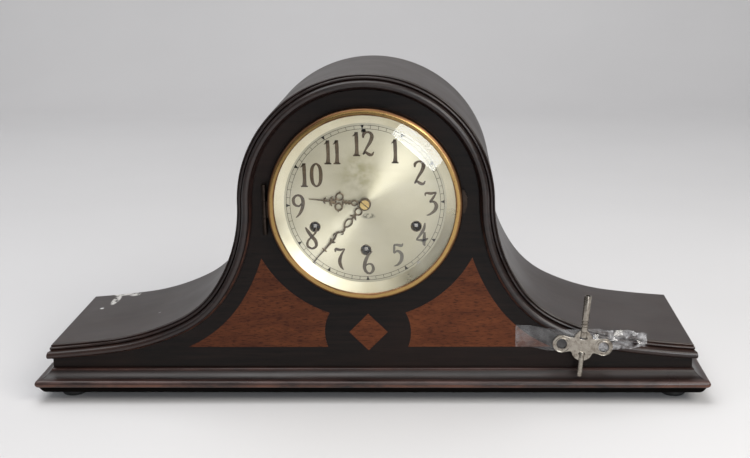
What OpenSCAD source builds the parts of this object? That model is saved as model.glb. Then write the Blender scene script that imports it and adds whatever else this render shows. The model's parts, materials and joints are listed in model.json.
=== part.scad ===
// Tambour mantel clock with a three-train chiming movement.
// The case frame has X to the right, Y to the back and Z up. Y = 0 is the front panel's face and
// Z = 0 is the surface that the feet stand on. in_case() then centres the whole clock front to back.

/* [Case] */
// Width of the case above the base
case_w = 545; // [500:1:600]
// Depth from the front panel's face to the back
case_d = 143; // [130:1:170]
// Radius of the arch over the dial
arch_r = 107; // [104:0.5:112]
// Height of the dial's centre above the surface
dial_z = 171; // [168:0.5:176]
// Thickness of the front and back panels
panel_t = 10; // [8:0.5:12]
// Thickness of the bent top skin
skin_t = 3; // [2:0.5:5]
// Width of the front moulding, measured along the panel
mould_w = 13; // [10:0.5:15]
// How far the front moulding stands out of the panel
mould_d = 9; // [6:0.5:10]

/* [Base] */
// Height of the base's lower edge
base_low = 7.7; // [6:0.1:10]
// Height of the base's top, where the case stands on it
base_top = 28; // [26:0.5:34]
// How far the base's nose stands out at the sides
nose_side = 13.5; // [10:0.5:20]
// How far the base's nose stands out at the front
nose_front = 16; // [12:0.5:20]
// Diameter of a foot
foot_d = 22; // [16:1:30]

/* [Dial] */
// Outer radius of the brass bezel ring
bezel_r = 80.5; // [79:0.5:84]
// Radius of the dial that shows inside the sight ring
sight_r = 69.4; // [66:0.1:70]
// Distance of the side winding arbors from the centre line
wind_x = 42; // [41:0.5:43]
// Height of the side winding arbors below the dial's centre
wind_side_drop = 19.5; // [18:0.5:21]
// Height of the middle winding arbor below the dial's centre
wind_mid_drop = 39.5; // [39:0.5:40]
// Radius of a winding hole in the dial
wind_hole_r = 4.1; // [3.5:0.1:5]

/* [Hands] */
// Angle of the hour hand, clockwise from 12
hour_angle = 275.5; // [0:0.5:360]
// Angle of the minute hand, clockwise from 12
minute_angle = 221.8; // [0:0.1:360]
// Length of the hour hand
hour_len = 46.6; // [40:0.1:50]
// Length of the minute hand
minute_len = 66; // [58:0.5:68]

/* [Movement] */
// Front face of the movement's front plate
front_plate_y = 26; // [25:0.5:27]
// Thickness of each movement plate
plate_t = 2.5; // [2:0.5:3]
// Clear distance between the movement plates
plate_gap = 40; // [40:0.5:42]
// Radius of a spring barrel
barrel_r = 18; // [16:0.5:18]
// Radius of a pivot that runs in a plate
pivot_r = 0.8; // [0.7:0.05:1]
// Radial clearance of every running fit
run_fit = 0.05; // [0.03:0.01:0.08]

/* [Hidden] */
$fn = 64;

wood = [0.13, 0.08, 0.07];
mahogany = [0.42, 0.2, 0.11];
brass = [0.78, 0.6, 0.3];
steel = [0.62, 0.62, 0.63];
blued = [0.2, 0.15, 0.1];

case_x = case_w / 2;
rear_y = case_d + 4;
case_y = (nose_front - rear_y) / 2;
plate_back_y = front_plate_y + plate_t;
back_plate_y = plate_back_y + plate_gap;
movement_rear_y = back_plate_y + plate_t;

module in_case() translate([0, case_y, 0]) children();

// A flat 2D outline, drawn in X and Z, as a plate that runs from y to y + t.
module plate_y(y, t) translate([0, y + t, 0]) rotate([90, 0, 0]) linear_extrude(t) children();

// A round bar along Y, from y0 to y1, at the place p = [x, z].
module bar_y(p, r, y0, y1) translate([p[0], y0, p[1]]) rotate([-90, 0, 0]) cylinder(r = r, h = y1 - y0);

// A shape turned about the dial's axis from a section drawn as [radius, y].
module turned(section) translate([0, 0, dial_z]) rotate([-90, 0, 0]) rotate_extrude($fn = 180)
    polygon(section);

function dir(a) = [cos(a), sin(a)];

// Points of an arc about c, from the angle a0 to a1, in n steps.
function arc(c, r, a0, a1, n) = [for (i = [0:n]) c + r * dir(a0 + (a1 - a0) * i / n)];

// ---- The tambour outline ----
// Each half is the arch and four sweeps that flow into one another. Offsetting keeps the centres.
dial_c = [0, dial_z];
sweep_r = [128, 80, 191, 860];
sweep_end = [214.7, 244, 262.5];
c1 = [arch_r + sweep_r[0], dial_z];
c2 = c1 + (sweep_r[0] - sweep_r[1]) * dir(sweep_end[0]);
c3 = c2 + (sweep_r[1] - sweep_r[2]) * dir(sweep_end[1]);
c4 = c3 + (sweep_r[2] - sweep_r[3]) * dir(sweep_end[2]);
function last_angle(d, w) = 360 - acos((w - c4[0]) / (sweep_r[3] - d));
function half_outline(d, w) = concat(
    arc(dial_c, arch_r + d, 90, 0, 30),
    arc(c1, sweep_r[0] - d, 181, sweep_end[0], 14),
    arc(c2, sweep_r[1] - d, sweep_end[0] + 1, sweep_end[1], 10),
    arc(c3, sweep_r[2] - d, sweep_end[1] + 1, sweep_end[2], 8),
    arc(c4, sweep_r[3] - d, sweep_end[2] + 0.5, last_angle(d, w), 4)
);
function mirrored(points) = [for (i = [len(points) - 1:-1:0]) [-points[i][0], points[i][1]]];

// The area under the outline offset by d, down to z = low and out to x = w on each side.
module outline_area(d, w, low) {
    right = half_outline(d, w);
    polygon(concat(right, [[w, low], [-w, low]], mirrored(right)));
}

module outline_band(d_out, d_in, w) difference() {
    outline_area(d_out, w, base_top);
    outline_area(d_in, w + 1, base_top - 1);
}

// ---- Case ----
// The base moulding's section as [distance out from the case, z], for a nose that is out mm wide.
nose_r = 3.2;
nose_z = 17.2;
function base_section(out) = concat(
    [[0, base_low], [out - 10, base_low]],
    arc([out - 10, nose_z - nose_r], nose_z - nose_r - base_low, 270, 330, 5),
    arc([out - nose_r, nose_z], nose_r, -80, 88, 12),
    [[out - 5, 20.6], [out - 7.4, 21.9], [out - 9.6, 23.6], [out - 11.4, 25.4], [out - 12.4, 26.7]],
    [[out - 13.3, base_top - 1.1], [out - 13.3, base_top], [0, base_top]]
);

module base_board() in_case() color(wood)
    translate([-case_x, 0, base_low]) cube([case_w, case_d, base_top - base_low]);

module base_strip(length, out) rotate([90, 0, 90]) linear_extrude(length)
    polygon(base_section(out));

// The front strip and the two side strips meet at mitres.
module base_moulding() in_case() color(wood) {
    long = case_w + 2 * nose_side;
    intersection() {
        translate([-long / 2, 0, 0]) mirror([0, 1, 0]) base_strip(long, nose_front);
        linear_extrude(base_top + 1) polygon([
            [-case_x, 0], [case_x, 0], [case_x + nose_side, -nose_front - 0.01],
            [-case_x - nose_side, -nose_front - 0.01]
        ]);
    }
    for (side = [0, 1]) mirror([side, 0, 0]) intersection() {
        translate([case_x, case_d, 0]) rotate([0, 0, -90])
            base_strip(case_d + nose_front, nose_side);
        linear_extrude(base_top + 1) polygon([
            [case_x, 0], [case_x, case_d], [case_x + nose_side + 1, case_d],
            [case_x + nose_side, -nose_front - 0.01]
        ]);
    }
}

module feet() in_case() color([0.05, 0.05, 0.05])
    for (x = [-260, 260], y = [14, case_d - 16]) translate([x, y, 0]) {
        cylinder(d1 = foot_d - 3, d2 = foot_d, h = 2);
        translate([0, 0, 2]) cylinder(d = foot_d, h = base_low - 2);
    }

// The wood that shows between the front moulding and the veneer inlays.
inlay_gap = 26;
inlay_low = 46;
inlay_t = 0.8;
diamond_c = [0.5, 59.1];
diamond_r = 16.3;
module inlay_triangle() difference() {
    intersection() {
        outline_area(-inlay_gap, 200, inlay_low);
        translate([20, inlay_low]) square([180, 100]);
    }
    translate(dial_c) circle(100, $fn = 160);
    translate(diamond_c) circle(36, $fn = 90);
}
module diamond_2d() translate(diamond_c) circle(diamond_r, $fn = 4);

// The movement and the dial's back sit in this hole.
panel_hole_r = 63;
module front_panel() in_case() color(wood) difference() {
    plate_y(0, panel_t) difference() {
        outline_area(-skin_t, case_x, base_top);
        translate(dial_c) circle(panel_hole_r, $fn = 120);
    }
    for (p = dial_screw_ps) bar_y(p, dial_screw_r, -1, dial_screw_end);
    plate_y(-1, 1 + inlay_t) {
        inlay_triangle();
        mirror([1, 0]) inlay_triangle();
        diamond_2d();
    }
}
module inlay_right() in_case() color(mahogany) plate_y(0, inlay_t) inlay_triangle();
module inlay_left() in_case() color(mahogany) plate_y(0, inlay_t) mirror([1, 0]) inlay_triangle();
module inlay_diamond() in_case() color(mahogany) plate_y(0, inlay_t) diamond_2d();

// The moulding is built up in steps: a flat back, a bead and the rounded nose in front.
module front_moulding() in_case() color(wood) {
    w = case_x + 3.1;
    plate_y(-mould_d * 0.35, mould_d * 0.35) outline_band(-0.4, -mould_w, w);
    plate_y(-mould_d * 0.7, mould_d * 0.35) outline_band(-1.2, 1 - mould_w, w);
    plate_y(-mould_d, mould_d * 0.3) outline_band(-4.2, 3.2 - mould_w, w);
}

module top_skin() in_case() color(wood)
    plate_y(0, case_d) outline_band(0, -skin_t, case_x);

module end_panels() in_case() color(wood)
    plate_y(panel_t, case_d - 2 * panel_t) intersection() {
        outline_area(-skin_t, case_x, base_top);
        for (side = [0, 1]) mirror([side, 0]) translate([case_x - 6, 0]) square([6, 80]);
    }

// The back door is an arched panel that drops into a rebate in the back panel.
door_r = 84;
door_low = 58;
door_gap = 0.6;
door_t = 5;
module door_2d(r, low) {
    translate(dial_c) circle(r, $fn = 120);
    translate([-r, low]) square([2 * r, dial_z - low]);
}
module back_panel() in_case() color(wood) difference() {
    plate_y(case_d - panel_t, panel_t) outline_area(-skin_t, case_x, base_top);
    plate_y(case_d - panel_t - 1, panel_t + 2) door_2d(door_r - 4, door_low + 4);
    plate_y(case_d - door_t, door_t + 1) door_2d(door_r + door_gap, door_low - door_gap);
}
module back_door() in_case() color(wood) difference() {
    plate_y(case_d - door_t, door_t) door_2d(door_r, door_low);
    for (x = [-24, 0, 24]) bar_y([x, 92], 4, case_d - door_t - 1, case_d + 1);
}
knob_p = [66, 128];
module back_door_knob() in_case() color(brass) {
    bar_y(knob_p, 2.2, case_d, case_d + 2);
    bar_y(knob_p, 4.5, case_d + 2, rear_y);
}
button_p = [92, 128];
module back_door_button() in_case() color(brass) {
    bar_y(button_p, 1.6, case_d, case_d + 0.4);
    plate_y(case_d + 0.4, 2.2) translate(button_p) {
        square([4, 20], center = true);
        circle(4);
        for (z = [-10, 10]) translate([0, z]) circle(2);
    }
}

// ---- Hinges: three knuckles on a pin, the middle one on the part that moves ----
module knuckle(p, r, bore, z0, z1) translate([p[0], p[1], z0]) difference() {
    cylinder(r = r, h = z1 - z0);
    translate([0, 0, -1]) cylinder(r = bore, h = z1 - z0 + 2);
}

back_hinge_p = [-door_r - 1.4, case_d + 1.9];
back_hinge_zs = [96, 196];
hinge_r = 1.8;
hinge_pin_r = 0.8;
// The third of a hinge that the moving leaf takes, as [from, to] about the hinge's middle.
knuckle_gap = 0.25;
module back_hinge_fixed() in_case() color(brass) for (z = back_hinge_zs) {
    for (end = [-15, 5 + knuckle_gap])
        knuckle(back_hinge_p, hinge_r, hinge_pin_r + run_fit, z + end, z + end + 10 - knuckle_gap);
    translate([back_hinge_p[0] - 9, case_d, z - 15]) cube([6.8, 1, 30]);
    for (end = [-15, 5 + knuckle_gap]) difference() {
        translate([back_hinge_p[0] - 9, case_d, z + end]) cube([9, 1, 10 - knuckle_gap]);
        translate([back_hinge_p[0], back_hinge_p[1], z - 20]) cylinder(r = hinge_r - 0.3, h = 40);
    }
}
module back_hinge_moving() in_case() color(brass) for (z = back_hinge_zs) {
    knuckle(back_hinge_p, hinge_r, hinge_pin_r, z - 5 + knuckle_gap, z + 5 - knuckle_gap);
    difference() {
        translate([back_hinge_p[0], case_d, z - 5 + knuckle_gap]) cube([10, 1, 10 - 2 * knuckle_gap]);
        translate([back_hinge_p[0], back_hinge_p[1], z - 20]) cylinder(r = hinge_r - 0.3, h = 40);
    }
    translate([back_hinge_p[0], back_hinge_p[1], z - 15]) cylinder(r = hinge_pin_r, h = 30);
}

bezel_hinge_p = [-bezel_r - 2.8, -4.2];
bezel_hinge_z = [dial_z - 25, dial_z + 17];
bezel_hinge_mid = [dial_z - 11, dial_z + 3];
module bezel_hinge_fixed() in_case() color(blued) {
    spans = [[bezel_hinge_z[0], bezel_hinge_mid[0] - knuckle_gap],
             [bezel_hinge_mid[1] + knuckle_gap, bezel_hinge_z[1]]];
    for (s = spans) {
        knuckle(bezel_hinge_p, 1.9, hinge_pin_r + run_fit, s[0], s[1]);
        difference() {
            translate([bezel_hinge_p[0] - 1.9, -4.2, s[0]]) cube([2.2, 4.2, s[1] - s[0]]);
            translate([bezel_hinge_p[0], bezel_hinge_p[1], s[0] - 1]) cylinder(r = 1.6, h = 30);
        }
    }
    translate([bezel_hinge_p[0] - 2.6, -1.2, bezel_hinge_z[0]])
        cube([2.6, 1.2, bezel_hinge_z[1] - bezel_hinge_z[0]]);
}
module bezel_hinge_moving() in_case() color(blued) {
    z0 = bezel_hinge_mid[0] + knuckle_gap;
    z1 = bezel_hinge_mid[1] - knuckle_gap;
    knuckle(bezel_hinge_p, 1.9, hinge_pin_r, z0, z1);
    difference() {
        translate([bezel_hinge_p[0], -5, z0]) cube([6, 1.6, z1 - z0]);
        translate([bezel_hinge_p[0], bezel_hinge_p[1], z0 - 1]) cylinder(r = 1.6, h = 30);
        bar_y(dial_c, bezel_r, -20, 20, $fn = 180);
    }
    translate([bezel_hinge_p[0], bezel_hinge_p[1], bezel_hinge_z[0]])
        cylinder(r = hinge_pin_r, h = bezel_hinge_z[1] - bezel_hinge_z[0]);
}

// ---- Dial and bezel ----
dial_front = -2.2;
time_p = [0, dial_z - wind_mid_drop];
strike_p = [-wind_x, dial_z - wind_side_drop];
chime_p = [wind_x, dial_z - wind_side_drop];
wind_ps = [strike_p, time_p, chime_p];
dial_screw_ps = [for (a = [-49.3, -130.7]) dial_c + 67.3 * dir(a)];
dial_screw_r = 0.9;
dial_screw_end = 7;
regulator_p = [0, dial_z + 60.5];
module dial_plate() in_case() color([0.72, 0.7, 0.62]) difference() {
    union() {
        bar_y(dial_c, 75.5, dial_front, -1, $fn = 180);
        difference() {
            bar_y(dial_c, 75.5, -1.5, 0, $fn = 180);
            bar_y(dial_c, 72.5, -2, 1, $fn = 180);
        }
    }
    bar_y(dial_c, 5, -4, 1);
    for (p = wind_ps) bar_y(p, wind_hole_r, -4, 1);
    bar_y(regulator_p, 2, -4, 1);
    for (p = dial_screw_ps) bar_y(p, dial_screw_r, -4, 1);
}
module dial_screws() in_case() color(brass) for (p = dial_screw_ps) {
    bar_y(p, dial_screw_r, dial_front, dial_screw_end);
    difference() {
        bar_y(p, 1.7, dial_front - 0.35, dial_front);
        plate_y(dial_front - 0.8, 0.6) translate(p) square([4, 0.4], center = true);
    }
}

glass_r = 76;
glass_t = 2;
crown_y = -17.5;
glass_curve_r = 365;
module bezel_ring() in_case() color(brass) turned(concat(
    [[glass_r + 0.1, -0.5], [bezel_r, -0.5]],
    arc([bezel_r - 3.6, -8.4], 3.6, 0, -90, 8),
    [[glass_r - 1.4, -12], [glass_r - 1.4, -10.1], [glass_r + 0.1, -10.1]]
));
module bezel_sight_ring() in_case() color([0.85, 0.83, 0.74]) turned([
    [glass_r, -7.2], [glass_r, -6], [sight_r + 1, -2.6], [sight_r, -2.6], [sight_r, -3.4]
]);
module bezel_glass() in_case() color([0.9, 0.95, 0.95, 0.3]) intersection() {
    translate([0, crown_y + glass_curve_r, dial_z]) difference() {
        sphere(glass_curve_r, $fn = 360);
        sphere(glass_curve_r - glass_t, $fn = 360);
    }
    bar_y(dial_c, glass_r, crown_y - 1, 0, $fn = 180);
}
module bezel_catch() in_case() color(brass) difference() {
    plate_y(-4.5, 1.4) polygon([
        [70, dial_z - 12], [bezel_r + 1.5, dial_z - 8], [bezel_r + 3.5, dial_z - 2],
        [bezel_r + 3.5, dial_z + 5], [bezel_r + 1.2, dial_z + 11], [70, dial_z + 14]
    ]);
    bar_y(dial_c, bezel_r, -20, 20, $fn = 180);
}

// ---- Gears ----
// A wheel's or pinion's outline. form = [addendum, dedendum, tooth at pitch line, at tip, at root],
// the first two in modules and the others as fractions of the pitch.
wheel_form = [0.8, 1.1, 0.36, 0.16, 0.5];
leaf_form = [0.6, 1.05, 0.34, 0.14, 0.42];
module gear_2d(n, m, phase, form) {
    r = m * n / 2;
    pitch = 360 / n;
    rings = [[r - form[1] * m, -form[4]], [r, -form[2]], [r + form[0] * m, -form[3]],
             [r + form[0] * m, form[3]], [r, form[2]], [r - form[1] * m, form[4]]];
    polygon([for (i = [0:n - 1]) for (k = rings) k[0] * dir(phase + pitch * (i + k[1] / 2))]);
}

// The phase of a gear of n2 teeth, at the angle a from a gear of n1 teeth, that puts them in mesh.
function mesh_phase(n1, phase1, a, n2) =
    a + 180 + (0.5 + (a - phase1) * n1 / 360) * 360 / n2;
function centres(n1, n2, m) = m * (n1 + n2) / 2;
function angle_to(p, q) = atan2(q[1] - p[1], q[0] - p[0]);

// A wheel with crossings (spokes) from its hub to its rim, from y to y + t.
module crossed_wheel(p, n, m, y, t, hub_r) plate_y(y, t) translate(p) difference() {
    gear_2d(n, m, 0, wheel_form);
    rim = m * n / 2 - 1.1 * m - 1.4;
    difference() {
        circle(rim);
        circle(hub_r);
        for (a = [0, 90]) rotate(a) square([2 * rim + 1, 1.8], center = true);
    }
}
module pinion(p, n, m, phase, y, t) plate_y(y, t) translate(p) gear_2d(n, m, phase, leaf_form);

// An arbor between the plates, with a pivot at each end.
shake = 0.3;
module arbor(p, r) {
    bar_y(p, r, plate_back_y + shake, back_plate_y - shake);
    bar_y(p, pivot_r, front_plate_y + 0.3, movement_rear_y - 0.3);
}

// ---- Where the arbors stand ----
barrel_teeth = 60;
barrel_m = 0.75;
train_m = 0.46;
second_teeth = 56;
second_m = 0.6;
train_leaves = 8;
centre_teeth = 72;
third_teeth = 60;
fast_leaves = 6;
drum_leaves = 12;

barrel_to_second = centres(barrel_teeth, train_leaves, barrel_m);
second_to_centre = centres(second_teeth, train_leaves, second_m);
// The second arbor is where circles about the barrel and the centre arbor cross, on the left.
second_rise = (pow(barrel_to_second, 2) - pow(second_to_centre, 2) + pow(wind_mid_drop, 2))
    / (2 * wind_mid_drop);
second_p = [-sqrt(pow(barrel_to_second, 2) - pow(second_rise, 2)), time_p[1] + second_rise];
third_p = dial_c + centres(centre_teeth, fast_leaves, train_m) * dir(125);
escape_p = [0, third_p[1] + sqrt(pow(centres(third_teeth, fast_leaves, train_m), 2)
    - pow(third_p[0], 2))];
escape_r = 12;
verge_p = [0, escape_p[1] + 15.5];

strike_wheel_p = strike_p + centres(barrel_teeth, train_leaves, barrel_m) * dir(105);
strike_fly_p = strike_wheel_p + centres(third_teeth, fast_leaves, train_m) * dir(60);
drum_p = chime_p + centres(barrel_teeth, drum_leaves, barrel_m) * dir(-72);
chime_fly_p = drum_p + centres(third_teeth, fast_leaves, train_m) * dir(-170);
hammer_p = [24, 104];
minute_wheel_p = dial_c + 12 * dir(-35);

// Layers between the plates, as distances from the front plate's inner face
side_wheel_y = plate_back_y + 2.5;
time_wheel_y = plate_back_y + 6.3;
drum_front_y = plate_back_y + 8.5;
drum_len = 20;
third_y = plate_back_y + 21.5;
fast_y = plate_back_y + 31.5;
centre_y = plate_back_y + 35.5;
wheel_t = 1.2;

// ---- Movement frame ----
pillar_ps = [[-60, 106], [60, 106], [-60, 214], [60, 214]];
module movement_plate_2d() difference() {
    translate([-66, 98]) square([132, 124]);
    for (p = pillar_ps) translate(p) circle(2);
}
module pivot_hole(p, r) translate(p) circle(r + run_fit);
module movement_front_plate() in_case() color(brass) {
    plate_y(front_plate_y, plate_t) difference() {
        movement_plate_2d();
        for (p = wind_ps) pivot_hole(p, 2.9);
        for (p = [second_p, third_p, escape_p, verge_p, strike_wheel_p, strike_fly_p, drum_p, chime_fly_p])
            pivot_hole(p, pivot_r);
        pivot_hole(dial_c, 0.95);
    }
    bar_y(minute_wheel_p, 1.2, 11, front_plate_y);
}
module movement_back_plate() in_case() color(brass) plate_y(back_plate_y, plate_t) difference() {
    movement_plate_2d();
    for (p = wind_ps) pivot_hole(p, 2);
    for (p = [dial_c, second_p, third_p, escape_p, verge_p, strike_wheel_p, strike_fly_p, drum_p, chime_fly_p])
        pivot_hole(p, pivot_r);
}
// The last pillar is the plain rod that the chime hammers turn on.
module plate_pillars() in_case() color(steel) {
    for (p = pillar_ps) {
        bar_y(p, 3.6, plate_back_y, back_plate_y);
        bar_y(p, 2, movement_rear_y, movement_rear_y + 4);
        bar_y(p, 2, back_plate_y, movement_rear_y);
    }
    bar_y(hammer_p, 1.5, plate_back_y, back_plate_y);
}
module plate_nuts() in_case() color(steel) for (p = pillar_ps)
    translate([p[0], movement_rear_y, p[1]]) rotate([-90, 0, 0]) difference() {
        cylinder(r = 4, h = 3, $fn = 6);
        translate([0, 0, -1]) cylinder(r = 2, h = 5);
    }
module mounting_posts() in_case() color(steel) for (p = pillar_ps) {
    bar_y(p, 4, panel_t, front_plate_y);
    bar_y(p, 2, front_plate_y, plate_back_y);
}

// ---- Motion work, in front of the front plate ----
cannon_leaves = 12;
cannon_m = 0.5;
minute_teeth = 36;
hour_leaves = 10;
hour_m = 0.48;
hour_teeth = 40;
centre_front_r = 0.95;
cannon_r = 1.9;
hour_pipe_r = 3;
hour_hand_y = -4.4;
minute_hand_y = -6.2;
hand_t = 0.8;
module cannon_pinion() in_case() color(steel) difference() {
    union() {
        bar_y(dial_c, cannon_r, minute_hand_y, 22);
        pinion(dial_c, cannon_leaves, cannon_m, 0, 18, 4);
    }
    bar_y(dial_c, centre_front_r + run_fit, -1.8, 23);
}
module minute_wheel() in_case() color(brass) difference() {
    union() {
        a = angle_to(dial_c, minute_wheel_p);
        plate_y(19.2, wheel_t) translate(minute_wheel_p)
            gear_2d(minute_teeth, cannon_m, mesh_phase(cannon_leaves, 0, a, minute_teeth), wheel_form);
        pinion(minute_wheel_p, hour_leaves, hour_m, 0, 12.5, 6.7);
    }
    bar_y(minute_wheel_p, 1.2 + run_fit, 10, 24);
}
module hour_wheel() in_case() color(brass) difference() {
    union() {
        a = angle_to(minute_wheel_p, dial_c);
        plate_y(14.2, wheel_t) translate(dial_c)
            gear_2d(hour_teeth, hour_m, mesh_phase(hour_leaves, 0, a, hour_teeth), wheel_form);
        bar_y(dial_c, hour_pipe_r, hour_hand_y, 17);
    }
    bar_y(dial_c, cannon_r + run_fit, -6, 18);
}

module ring_2d(c, r, t) translate(c) difference() {
    circle(r + t);
    circle(r);
}
module hour_hand() in_case() color(blued) plate_y(hour_hand_y, hand_t) translate(dial_c)
    rotate(90 - hour_angle) difference() {
        union() {
            circle(5);
            ring_2d([7.8, 0], 2.2, 0.9);
            translate([10.6, -0.9]) square([7, 1.8]);
            for (s = [-1, 1]) ring_2d([21.8, s * 3.6], 2.9, 0.9);
            translate([17, -1]) square([3, 2]);
            translate([23.6, -1]) square([5.4, 2]);
            polygon([[27, -0.9], [28.4, -3.4], [29.6, -3.4], [30.2, -1.6], [34, -1.2], [hour_len, -0.35],
                [hour_len, 0.35], [34, 1.2], [30.2, 1.6], [29.6, 3.4], [28.4, 3.4], [27, 0.9]]);
        }
        circle(hour_pipe_r);
    }
module minute_hand() in_case() color(blued) plate_y(minute_hand_y, hand_t) translate(dial_c)
    rotate(90 - minute_angle) difference() {
        union() {
            circle(4.4);
            ring_2d([7.4, 0], 2.6, 0.9);
            translate([10.6, -0.9]) square([5.6, 1.8]);
            ring_2d([19, 0], 2.4, 0.8);
            translate([21.6, -0.8]) square([10, 1.6]);
            ring_2d([33, 0], 1.6, 0.8);
            polygon([[34.8, -0.9], [50.6, -0.6], [51, -2.6], [51.9, -2.6], [52.3, -0.6], [minute_len, -0.3],
                [minute_len, 0.3], [52.3, 0.6], [51.9, 2.6], [51, 2.6], [50.6, 0.6], [34.8, 0.9]]);
        }
        circle(cannon_r);
    }
module hand_nut() in_case() color(brass) difference() {
    bar_y(dial_c, 4.9, minute_hand_y - 2.4, minute_hand_y);
    plate_y(minute_hand_y - 3, 1.6) translate(dial_c) rotate(-42) square([12, 0.9], center = true);
}

// ---- Barrels and winding arbors ----
wind_arbor_r = 2.5;
// The square front end of a winding arbor, and the key's square hole, which slips over it.
arbor_square = 2.8;
key_square = 3;
// A spring barrel whose great wheel is at y, with an open bore for the winding arbor.
module barrel(p, y) in_case() color(brass) difference() {
    union() {
        plate_y(y, 2) translate(p) gear_2d(barrel_teeth, barrel_m, 0, wheel_form);
        bar_y(p, 7, y, drum_front_y + 1);
        bar_y(p, barrel_r, drum_front_y, drum_front_y + drum_len);
    }
    bar_y(p, barrel_r - 1, drum_front_y + 1.5, drum_front_y + drum_len - 1.5);
    bar_y(p, wind_arbor_r + run_fit, y - 1, drum_front_y + drum_len + 1);
    for (a = [60:120:300]) bar_y(p + 12 * dir(a), 3, drum_front_y + drum_len - 2, drum_front_y + drum_len + 1);
}
// A winding arbor has the key's square in front and a ratchet wheel behind it.
ratchet_teeth = 14;
module ratchet_2d() polygon([
    for (i = [0:ratchet_teeth - 1]) for (k = [[6.4, 0], [7.6, 24]]) k[0] * dir(i * 360 / ratchet_teeth + k[1])
]);
module winding_arbor(p) in_case() color(steel) {
    bar_y(p, wind_arbor_r, plate_back_y + 1, back_plate_y - shake);
    bar_y(p, 2.9, 20, plate_back_y + 1);
    bar_y(p, 2, back_plate_y - 1, movement_rear_y - 0.3);
    plate_y(1.6, 18.6) translate(p) square(arbor_square, center = true);
    plate_y(23.8, 1.8) translate(p) ratchet_2d();
}
module time_barrel() barrel(time_p, time_wheel_y);
module strike_barrel() barrel(strike_p, side_wheel_y);
module chime_barrel() barrel(chime_p, side_wheel_y);
module time_winding_arbor() winding_arbor(time_p);
module strike_winding_arbor() winding_arbor(strike_p);
module chime_winding_arbor() winding_arbor(chime_p);

// ---- Going train ----
module second_wheel() in_case() color(brass) {
    phase = mesh_phase(barrel_teeth, 0, angle_to(time_p, second_p), train_leaves);
    arbor(second_p, 1.2);
    pinion(second_p, train_leaves, barrel_m, phase, time_wheel_y - 1, 4);
    crossed_wheel(second_p, second_teeth, second_m, fast_y, wheel_t, 4);
}
// The centre arbor carries on through the front plate, inside the cannon pinion.
module centre_wheel() in_case() color(brass) {
    phase = mesh_phase(second_teeth, 0, angle_to(second_p, dial_c), train_leaves);
    bar_y(dial_c, 1.1, plate_back_y + shake, back_plate_y - shake);
    bar_y(dial_c, centre_front_r, -1.6, plate_back_y + 1);
    bar_y(dial_c, pivot_r, back_plate_y - 1, movement_rear_y - 0.3);
    pinion(dial_c, train_leaves, second_m, phase, fast_y - 1, 3.2);
    crossed_wheel(dial_c, centre_teeth, train_m, centre_y, wheel_t, 4);
}
module third_wheel() in_case() color(brass) {
    phase = mesh_phase(centre_teeth, 0, angle_to(dial_c, third_p), fast_leaves);
    arbor(third_p, 0.85);
    pinion(third_p, fast_leaves, train_m, phase, centre_y - 1, 3.2);
    crossed_wheel(third_p, third_teeth, train_m, third_y, wheel_t, 3.5);
}
// The escape wheel's teeth lean forward, as a recoil escapement's do.
escape_teeth = 40;
module escape_wheel_2d() difference() {
    pitch = 360 / escape_teeth;
    polygon([for (i = [0:escape_teeth - 1]) for (k = [[escape_r - 1.9, 0.1], [escape_r, 0.55], [escape_r, 0.65],
        [escape_r - 1.9, 0.75]]) k[0] * dir(pitch * (i + k[1]))]);
    difference() {
        circle(escape_r - 3.2);
        circle(3);
        for (a = [0, 90]) rotate(a) square([2 * escape_r - 5, 1.4], center = true);
    }
}
module escape_wheel() in_case() color(brass) {
    phase = mesh_phase(third_teeth, 0, angle_to(third_p, escape_p), fast_leaves);
    arbor(escape_p, 0.85);
    pinion(escape_p, fast_leaves, train_m, phase, third_y - 1, 3.2);
    plate_y(fast_y, wheel_t) translate(escape_p) escape_wheel_2d();
}
// The anchor's pallets stand just clear of the teeth, and the crutch hangs behind the back plate.
pallet_gap = 1.3;
crutch_drop = 30;
pend_y = 80;
pend_rod_r = 1.2;
module verge() in_case() color(steel) {
    bar_y(verge_p, 0.9, plate_back_y + shake, back_plate_y - shake);
    bar_y(verge_p, pivot_r, front_plate_y + 0.3, movement_rear_y + 3);
    plate_y(fast_y - 1, 3) translate(verge_p) difference() {
        polygon([[-11, -7.2], [-9.6, -2], [-2.4, 2.2], [2.4, 2.2], [9.6, -2], [11, -7.2], [8.6, -7.8],
            [7.4, -3.4], [3, -1.4], [-3, -1.4], [-7.4, -3.4], [-8.6, -7.8]]);
        translate(escape_p - verge_p) circle(escape_r + pallet_gap);
    }
    plate_y(movement_rear_y + 1.5, 1.5) translate(verge_p) {
        circle(1.8);
        translate([-0.9, -crutch_drop]) square([1.8, crutch_drop]);
        translate([-3, -crutch_drop - 1]) square([6, 2]);
    }
    for (x = [-3, 1.8]) translate([x, movement_rear_y + 2, verge_p[1] - crutch_drop - 1]) cube([1.2, 10, 2]);
}

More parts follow.
